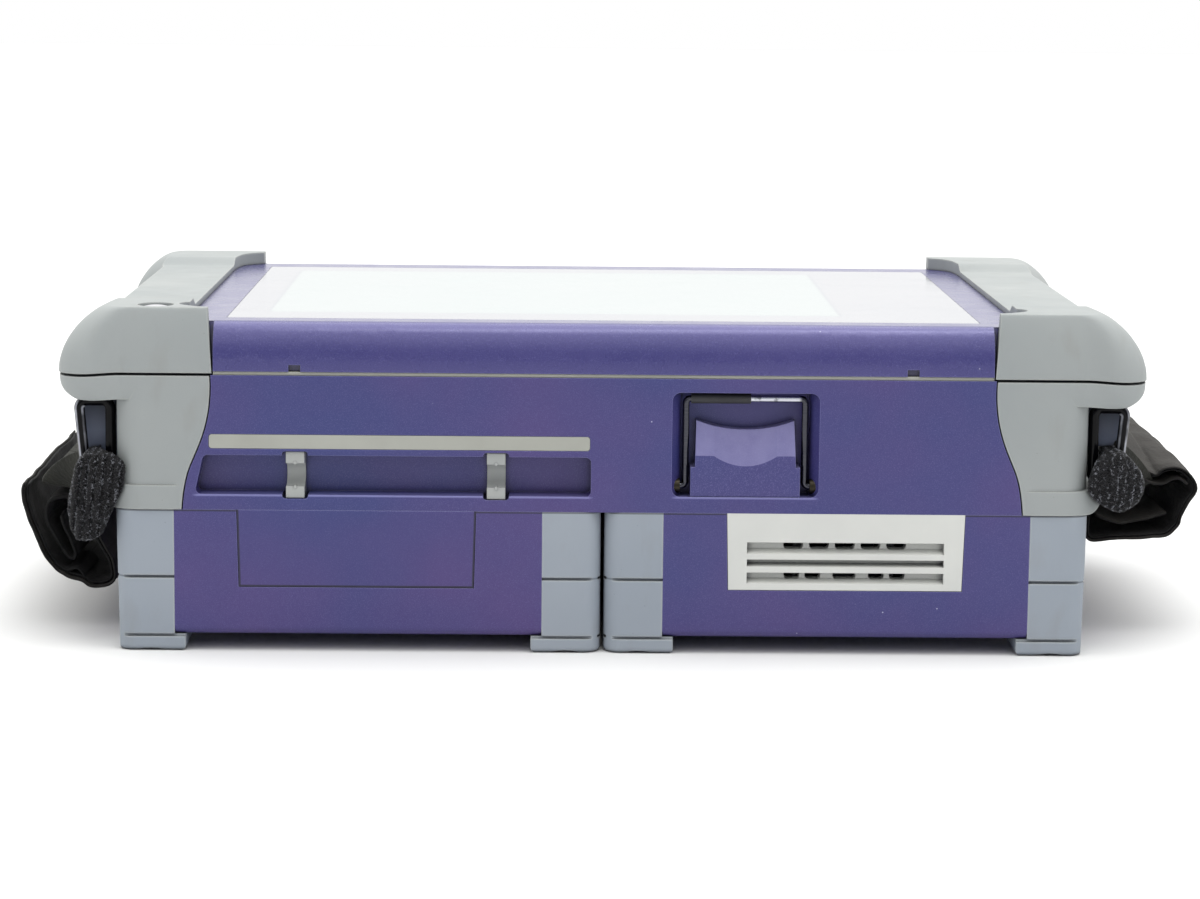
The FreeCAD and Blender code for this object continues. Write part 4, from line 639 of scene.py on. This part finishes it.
# Sheets in the lining look get painted shade.
# Sheet, near and far section, reach along Y, thickness, look, seed, wrinkle, shift, sewn line.
SLEEVE_SHEETS = {
    "left": [("wrap", LEFT_WRAP, LEFT_WRAP_FAR, (-60, 60), 0.9, "sleeve", 1, 0.8, 0.6, 37.0),
             ("inner", LEFT_WRAP, LEFT_WRAP_FAR, (-58.6, 59), 0.9, "lining", 1, 0.8, -0.6, None),
             ("flap", LEFT_FLAP, None, (-57.5, -8), 1.2, "lining", 2, 0.6, 0.0, None),
             ("curl", LEFT_CURL, None, (-58.5, -30), 1.0, "lining", 3, 0.5, 0.0, None)],
    "right": [("wrap", RIGHT_WRAP, RIGHT_WRAP_FAR, (-60, 60), 0.7, "sleeve", 4, 0.8, 0.45, 20.4),
              ("inner", RIGHT_WRAP, RIGHT_WRAP_FAR, (-58.8, 59), 0.7, "lining", 4, 0.8, -0.45, None),
              ("hem", RIGHT_HEM, None, (-60, -26), 0.9, "sleeve", 5, 0.3, 0.0, None),
              ("flap", RIGHT_FLAP, None, (-57, -6), 1.0, "sleeve", 6, 0.5, 0.0, None)],
}


def sleeves():
    """The two folded sleeves: an open wrap on the left, a flattened tube on the right, each of
    an outer cloth and a lining, with a sewn line along the outer one."""
    for side, sheets in SLEEVE_SHEETS.items():
        body = "handle_" + side
        for part, *form in sheets:
            name = "sleeve_" + part + "_" + side
            obj, width, length, line = draped(name, *form)
            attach(obj, body)
            if part in ("wrap", "inner"):
                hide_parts("handle_sleeve_" + side)
            if line:
                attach(stitched("sleeve_stitches_" + side, line[2:-2]), body)


WEBBING_END_Y = RING_Y - 3.0
WEBBING_LEFT_HALF_W = 9.2
WEBBING_RIGHT_HALF_W = 8.0
WEBBING_TURN_Y = 76.0              # it starts to lie over here, and lies flat this much further in
WEBBING_TURN_L = 22.0
WEBBING_T = 0.9                    # unit of the heights in the cross section
# One face of the cross section, as a share of the half width and a height in that unit.
WEBBING_FACE = [(-1, -0.35), (-0.96, -0.8), (-0.6, -0.9), (0, -0.9), (0.6, -0.9), (0.96, -0.8),
                (1, -0.35)]


def webbing_path(side, y):
    """Middle and lean of the webbing at one place: upright in the hook-and-loop ends, lying
    over in the sleeve."""
    ends = {-1: (47.4, -7.6, 42.6, 80.0), 1: (54.5, 8.0, 43.4, 64.0)}
    upright_z, shift, flat_z, lean = ends[side]
    turn = min(1.0, max(0.0, (WEBBING_TURN_Y - abs(y)) / WEBBING_TURN_L))
    turn = turn * turn * (3 - 2 * turn)
    x = side * STRAP_X + shift * turn
    return x, upright_z + (flat_z - upright_z) * turn, math.radians(lean) * turn * -side


def webbing():
    """Flat webbing, in two halves that meet in the middle of each handle. Each half bends
    between the mainframe, from 79 mm outwards, and the handle, from 62 mm inwards."""
    rows = 44
    across = WEBBING_FACE + [(-u, -v) for u, v in WEBBING_FACE]
    for side, word, half_w in ((-1, "left", WEBBING_LEFT_HALF_W), (1, "right", WEBBING_RIGHT_HALF_W)):
        for end in (-1, 1):
            vertices = []
            for r in range(rows + 1):
                y = end * WEBBING_END_Y * r / rows
                x, z, lean = webbing_path(side, y)
                for u, v in across:
                    w, t = u * half_w, v * WEBBING_T + 0.25 * swell((y / 18, u, 0), 9 + side)
                    vertices.append((x + t * math.cos(lean) - w * math.sin(lean), y,
                                     z + w * math.cos(lean) + t * math.sin(lean)))
            columns = len(across)
            faces = grid_faces(rows + 1, columns, True)
            faces += [tuple(range(columns)), tuple(rows * columns + k for k in range(columns))]
            name = "webbing_" + word + ("_near" if end < 0 else "_far")
            obj = mesh_piece(name, vertices, faces, "webbing")
            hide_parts("handle_webbing_" + word)
            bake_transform(obj)


# Cross sections of the folded strap ends as X and Z.
LEFT_FOLD = [(-149.6, 58.4), (-146.6, 58.8), (-143.2, 58.2), (-140.4, 56.8), (-139.6, 53.6), (-140.0, 49.8),
             (-141.7, 45.7), (-143.3, 42.6), (-145.5, 38.2), (-147.7, 34.2), (-151.0, 32.5), (-154.6, 33.6),
             (-156.3, 37.8), (-156.4, 43.9), (-155.5, 50.4), (-153.9, 55.6), (-151.9, 57.8)]
RIGHT_FOLD = [(150.6, 60.8), (147.1, 59.5), (144.2, 56.7), (142.7, 52.1), (143.3, 48.7), (145.9, 46.2),
              (150.0, 44.2), (152.4, 43.8), (155.8, 45.3), (158.1, 48.7), (158.8, 51.4), (157.8, 54.8),
              (155.4, 58.2), (153.2, 60.2)]
FOLD_FRONT = 97.4                  # nearest point, depth of the domed front, and back
FOLD_DOME = 2.8
FOLD_BACK = 71.5
FOLD_TALL = 26.0                   # height over which the layers lean by their given amount
PILE_NEAR, PILE_FAR = 9800, 2600   # loops on a near and on a far end
PILE_LOOP = (0.12, 0.29)           # smallest and largest radius of a loop
# Side, section, lean over FOLD_TALL, pitch of the layers, and depth of the grooves between them.
STRAP_ENDS = [(-1, "left", LEFT_FOLD, 3.0, 2.3, 2.3), (1, "right", RIGHT_FOLD, -1.0, 2.6, 0.9)]


def clear_x(y):
    """Smallest distance from the centre plane at which a fold clears the case and its bead."""
    centre_x, centre_y = LUG_CENTRE
    reach = LUG_R + 0.7
    depth = abs(y) - centre_y
    if depth <= 0:
        return centre_x + reach
    return centre_x + math.sqrt(max(0.0, reach ** 2 - depth ** 2))


def fold_surface(side, end, shape, lean, ribs, relief, seed):
    """Rings of a folded end from its near dome to its back. Its layers stand side by side,
    leaning by so many millimetres over the height, with grooves between them."""
    line = through(shape, 0.5, True)
    centre = (sum(p[0] for p in line) / len(line), sum(p[1] for p in line) / len(line))
    tall = Vector((lean, FOLD_TALL)).normalized()
    steps = [(s, FOLD_FRONT - FOLD_DOME * (1 - math.sqrt(1 - s * s))) for s in
             [0.04 + 0.96 * math.sin(math.pi / 2 * k / 18) for k in range(18)] + [1.0]]
    steps += [(1.0 + 0.03 * math.sin(math.pi * k / 13), FOLD_FRONT - FOLD_DOME - k * 1.5)
              for k in range(1, 13)]
    steps += [(s, FOLD_BACK + 2.5 * math.sqrt(1 - (1 - s) ** 2) - 1.2) for s in (0.9, 0.7, 0.45, 0.2, 0.05)]
    vertices = []
    for scale, depth in steps:
        for x, z in line:
            px, pz = centre[0] + (x - centre[0]) * scale, centre[1] + (z - centre[1]) * scale
            across = (px - centre[0]) * tall.y - (pz - centre[1]) * tall.x
            lump = 0.6 * swell((px / 2.6, depth / 3.0, pz / 3.6), seed)
            layer = math.floor(across / ribs)
            groove = abs(math.sin(math.pi * across / ribs)) ** 0.5 - 1.0
            forward = relief * (groove + 0.9 * swell((layer * 1.7, 0, pz / 9), seed)) + lump
            y = depth + forward * min(1.0, max(0.0, (depth - FOLD_BACK) / 20))
            grow = 1 + 0.03 * relief * swell((layer * 2.3, 5, 0), seed) + 0.025 * lump
            vx, vz = centre[0] + (px - centre[0]) * grow, centre[1] + (pz - centre[1]) * grow
            vertices.append((side * max(abs(vx), clear_x(y)), end * y, vz))
    count = len(line)
    faces = grid_faces(len(steps), count, True)
    faces += [tuple(range(count)), tuple((len(steps) - 1) * count + k for k in range(count))]
    return vertices, faces


def loop_pile(name, obj, number, seed):
    """Short nylon loops all over a surface, as one mesh."""
    pick = random.Random(seed)
    mesh = obj.data
    mesh.calc_loop_triangles()
    triangles = [[mesh.vertices[i].co / MM for i in t.vertices] for t in mesh.loop_triangles]
    normals = [Vector(t.normal) for t in mesh.loop_triangles]
    areas = [t.area for t in mesh.loop_triangles]
    vertices, faces = [], []
    for index in pick.choices(range(len(triangles)), areas, k=number):
        a, b, c = triangles[index]
        u, v = sorted((pick.random(), pick.random()))
        foot = a * u + b * (v - u) + c * (1 - v)
        up = (normals[index] + Vector((pick.uniform(-0.5, 0.5) for _ in range(3)))).normalized()
        side = up.cross(Vector((pick.uniform(-1, 1), pick.uniform(-1, 1), pick.uniform(-1, 1)))).normalized()
        other = up.cross(side)
        radius = pick.uniform(*PILE_LOOP)
        thick = pick.uniform(0.05, 0.10)
        base = len(vertices)
        rings = 5
        for k in range(rings):
            turn = math.pi * (k / (rings - 1)) * 1.1 - 0.05 * math.pi
            spot = foot + side * math.cos(turn) * radius + up * math.sin(turn) * radius * 1.2
            outward = (side * math.cos(turn) + up * math.sin(turn)).normalized()
            for m in range(3):
                spin = math.tau * m / 3
                vertices.append(spot + (outward * math.cos(spin) + other * math.sin(spin)) * thick)
        for k in range(rings - 1):
            for m in range(3):
                faces.append((base + k * 3 + m, base + k * 3 + (m + 1) % 3,
                              base + (k + 1) * 3 + (m + 1) % 3, base + (k + 1) * 3 + m))
    return mesh_piece(name, vertices, faces, "pile")


def strap_ends():
    """The four folded hook-and-loop ends, each with its pile."""
    for side, word, shape, lean, ribs, relief in STRAP_ENDS:
        for end, place in ((-1, "near"), (1, "far")):
            vertices, faces = fold_surface(side, end, shape, lean, ribs, relief, 11 + side + end)
            obj = mesh_piece("strap_end_" + place + "_" + word, vertices, faces, "pile_base")
            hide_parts("strap_folds_" + word)
            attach(obj, MAIN)
            number = PILE_NEAR if end < 0 else PILE_FAR
            pile = loop_pile("strap_pile_" + place + "_" + word, obj, number, 21 + side + end)
            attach(pile, MAIN)


WEB_Y = (77.0, 80.4)
WEB_LEFT_LOW = 57.4                # lower edge of a web in front of the folded end
WEB_RIGHT_LOW = 62.7
WEB_STEP = 1.8                     # how much lower it is beside the case
WEB_SEAT = 0.2                     # how far it reaches into the case and the flange
WEB_OUT = 154.9                    # outer edge


def bay_webs():
    """Rubber web across each strap bay behind its ring, from the strap up to the flange."""
    for side, word, low in ((-1, "left", WEB_LEFT_LOW), (1, "right", WEB_RIGHT_LOW)):
        root, roof = SIDE_X - WEB_SEAT, FLANGE_LOW + WEB_SEAT
        outline = [(root, low - WEB_STEP), (151.8, low - WEB_STEP), (152.4, low), (153.4, low),
                   (154.4, low + 1.2), (WEB_OUT, low + 4.0), (WEB_OUT, roof), (root, roof)]
        for end, place in ((-1, "near"), (1, "far")):
            count = len(outline)
            vertices = [(side * x, end * y, z) for y in WEB_Y for x, z in outline]
            faces = [tuple(range(count)), tuple(range(count, 2 * count))]
            faces += [(k, (k + 1) % count, count + (k + 1) % count, count + k) for k in range(count)]
            obj = mesh_piece("bay_web_" + place + "_" + word, vertices, faces, "web")
            rounding = obj.modifiers.new("rounding", "BEVEL")
            rounding.width = 0.5 * MM
            rounding.segments = 3
            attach(settle(obj), MAIN)


# ---- small hardware ---------------------------------------------------------------------------
CAPTIVE_SCREW_X, CAPTIVE_SCREW_Y, CAPTIVE_SCREW_Z = 71.75, 52.0, 5.0
PORT_X = (60.0, 82.0)
PORT_SCREW = 4.8                   # flange screws of a port, off its middle both ways
PORT_FACE = 3.6                    # inner end of the ports to the outer face of their flanges
JACK_CONTACT_PITCH = 1.02
JACK_CONTACT = ((75.4, 3.2), (80.0, 0.6), (84.4, 3.4))     # course along Y, height over the middle
USB_CONTACT_X = (-3.5, -1.0, 1.0, 3.5)
USB_CONTACT = ((76.0, 0.12), (80.0, 0.1), (84.0, 0.12))


def socket_screw(name, centre, direction, radius, height):
    """Domed screw head with a hexagon socket, standing on a surface at centre."""
    turns = 36
    out = Vector(direction)
    side = out.orthogonal().normalized()
    up = out.cross(side)

    def hexagon(angle):
        part = (angle % (math.pi / 3)) - math.pi / 6
        return radius * 0.42 / math.cos(part)

    rings = [(lambda a: radius, 0.0), (lambda a: radius, 0.55), (lambda a: radius * 0.93, 0.82),
             (lambda a: radius * 0.75, 1.0), (lambda a: hexagon(a) * 1.08, 1.0), (hexagon, 0.93),
             (hexagon, 0.35)]
    vertices = []
    for reach, level in rings:
        for k in range(turns):
            angle = math.tau * k / turns
            spot = Vector(centre) + out * height * level
            vertices.append(spot + (side * math.cos(angle) + up * math.sin(angle)) * reach(angle))
    faces = grid_faces(len(rings), turns, True)
    faces.append(tuple((len(rings) - 1) * turns + k for k in range(turns)))
    faces.append(tuple(range(turns)))
    obj = mesh_piece(name, vertices, faces, "zinc")
    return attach(obj, MAIN)


def bent_strip(name, path, width, thickness, look):
    """Thin spring contact: a flat strip along a path in the Y and Z plane at one X."""
    points = through(path, 0.5)
    vertices = []
    for i, (x, y, z) in enumerate(points):
        a, b = points[max(i - 1, 0)], points[min(i + 1, len(points) - 1)]
        run = Vector((0, b[1] - a[1], b[2] - a[2])).normalized()
        lift = Vector((0, -run.z, run.y)) * thickness / 2
        for sx, sl in ((-1, -1), (1, -1), (1, 1), (-1, 1)):
            vertices.append((x + sx * width / 2, y + sl * lift.y, z + sl * lift.z))
    faces = grid_faces(len(points), 4, True)
    faces += [(0, 1, 2, 3), tuple(len(vertices) - 4 + k for k in range(4))]
    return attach(mesh_piece(name, vertices, faces, look, False), MAIN)


def middle(low, high):
    """Middle of a box in X and Z, in millimetres."""
    return (low[0] + high[0]) / 2 / MM, (low[2] + high[2]) / 2 / MM


def hardware():
    """Captive screws of the modules, flange screws of the fibre ports, socket contacts."""
    for side, word in ((-1, "left"), (1, "right")):
        for index, end in enumerate((-1, 1)):
            socket_screw("captive_screw_" + word + "_" + str(index + 1),
                         (side * CAPTIVE_SCREW_X, end * CAPTIVE_SCREW_Y, CAPTIVE_SCREW_Z), (0, 0, -1),
                         4.6, 2.4)
    low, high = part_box("optical_ports")
    port_z = middle(low, high)[1]
    face_y = low[1] / MM + PORT_FACE
    for index, x in enumerate(PORT_X):
        for turn, word in ((-1, "_a"), (1, "_b")):
            spot = (x + turn * PORT_SCREW, face_y, port_z + turn * PORT_SCREW)
            socket_screw("port_screw_" + str(index + 1) + word, spot, (0, 1, 0), 1.1, 0.8)
    low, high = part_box("ethernet_jack")
    jack_x, jack_z = middle(low, high)
    for k in range(8):
        x = jack_x + (k - 3.5) * JACK_CONTACT_PITCH
        path = [(x, y, jack_z + rise) for y, rise in JACK_CONTACT]
        bent_strip("network_contact_" + str(k + 1), path, 0.45, 0.2, "gold")
    low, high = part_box("usb_ports")
    usb_x, usb_z = middle(low, high)
    for k, offset in enumerate(USB_CONTACT_X):
        path = [(usb_x + offset, y, usb_z + rise) for y, rise in USB_CONTACT]
        bent_strip("usb_contact_" + str(k + 1), path, 1.0, 0.15, "gold")


# ---- studio ------------------------------------------------------------------------------------
FRONT_LIGHT = (0.16, 0.19, 0.25, 1)
BACK_LIGHT = (1.0, 1.0, 1.0, 1)
TOP_LIGHT = (1.75, 1.74, 1.69, 1)
FLOOR_HALF = 6.0
FLOOR_COLOURS = ((0.73, 0.733, 0.737, 1), (0.71, 0.713, 0.717, 1))
LAMPS = [("overhead", (0.1, 0.05, 1.5), (1.8, 1.2), 12.0), ("strip", (0.25, -0.25, 1.1), (1.2, 0.10), 1.6)]
CAMERA_PLACE = (-0.0161, -1.0494, 0.2048)
CAMERA_TURN = (-0.902, 8.565, 0.584)   # yaw, pitch and roll in degrees
CAMERA_LENS = 99.1


def studio():
    """Pale floor, soft light from above, brighter behind than in front."""
    mesh = bpy.data.meshes.new("floor")
    corners = [(x * FLOOR_HALF, y * FLOOR_HALF, 0) for x, y in ((-1, -1), (1, -1), (1, 1), (-1, 1))]
    mesh.from_pydata(corners, [], [(0, 1, 2, 3)])
    floor = bpy.data.objects.new("floor", mesh)
    bpy.context.scene.collection.objects.link(floor)
    look = Look("studio floor", roughness=0.9, specular_ior_level=0.1)
    look.paint(look.mix(look.drift(3, 2), *FLOOR_COLOURS))
    mesh.materials.append(look.material)

    world = bpy.data.worlds.new("studio")
    bpy.context.scene.world = world
    world.use_nodes = True
    nodes, links = world.node_tree.nodes, world.node_tree.links

    def ramp(value, low, high):
        made = nodes.new("ShaderNodeMapRange")
        links.new(value, made.inputs["Value"])
        made.inputs["From Min"].default_value = low
        made.inputs["From Max"].default_value = high
        return made.outputs[0]

    def blend(share, first, second):
        made = nodes.new("ShaderNodeMix")
        made.data_type = "RGBA"
        links.new(share, made.inputs[0])
        for socket, value in ((6, first), (7, second)):
            if isinstance(value, bpy.types.NodeSocket):
                links.new(value, made.inputs[socket])
            else:
                made.inputs[socket].default_value = value
        return made.outputs[2]

    split = nodes.new("ShaderNodeSeparateXYZ")
    links.new(nodes.new("ShaderNodeTexCoord").outputs["Generated"], split.inputs[0])
    level = blend(ramp(split.outputs["Y"], -0.9, 0.35), FRONT_LIGHT, BACK_LIGHT)
    sky = nodes["Background"]
    links.new(blend(ramp(split.outputs["Z"], 0.05, 0.75), level, TOP_LIGHT), sky.inputs["Color"])
    seen = nodes.new("ShaderNodeBackground")
    seen.inputs["Color"].default_value = (1.0, 1.0, 1.0, 1)
    rays = nodes.new("ShaderNodeLightPath")
    choose = nodes.new("ShaderNodeMixShader")
    links.new(rays.outputs["Is Camera Ray"], choose.inputs[0])
    links.new(sky.outputs[0], choose.inputs[1])
    links.new(seen.outputs[0], choose.inputs[2])
    links.new(choose.outputs[0], nodes["World Output"].inputs["Surface"])

    for name, place, size, power in LAMPS:
        data = bpy.data.lights.new(name, "AREA")
        data.shape = "RECTANGLE"
        data.size, data.size_y = size
        data.energy = power
        light = bpy.data.objects.new(name, data)
        light.location = place
        aim = Vector((0, 0, 0.05)) - Vector(place)
        light.rotation_euler = aim.to_track_quat("-Z", "Y").to_euler()
        bpy.context.scene.collection.objects.link(light)
    bpy.context.scene.view_settings.view_transform = "Standard"


def camera():
    """Camera at the photograph's angle: nearly level, from the near side."""
    yaw, pitch, roll = (math.radians(angle) for angle in CAMERA_TURN)
    data = bpy.data.cameras.new("camera")
    data.lens = CAMERA_LENS
    data.sensor_width = 36.0
    data.clip_end = 50.0
    obj = bpy.data.objects.new("camera", data)
    bpy.context.scene.collection.objects.link(obj)
    ahead = Vector((-math.sin(yaw) * math.cos(pitch), math.cos(yaw) * math.cos(pitch), -math.sin(pitch)))
    level = Vector((math.cos(yaw), math.sin(yaw), 0))
    upward = level.cross(ahead)
    right = math.cos(roll) * level + math.sin(roll) * upward
    top = -math.sin(roll) * level + math.cos(roll) * upward
    turn = Matrix((right, top, -ahead)).transposed().to_4x4()
    obj.matrix_world = Matrix.Translation(CAMERA_PLACE) @ turn
    bpy.context.scene.camera = obj


camera()
studio()
dress_frame()
sleeves()
webbing()
strap_ends()
bay_webs()
hardware()
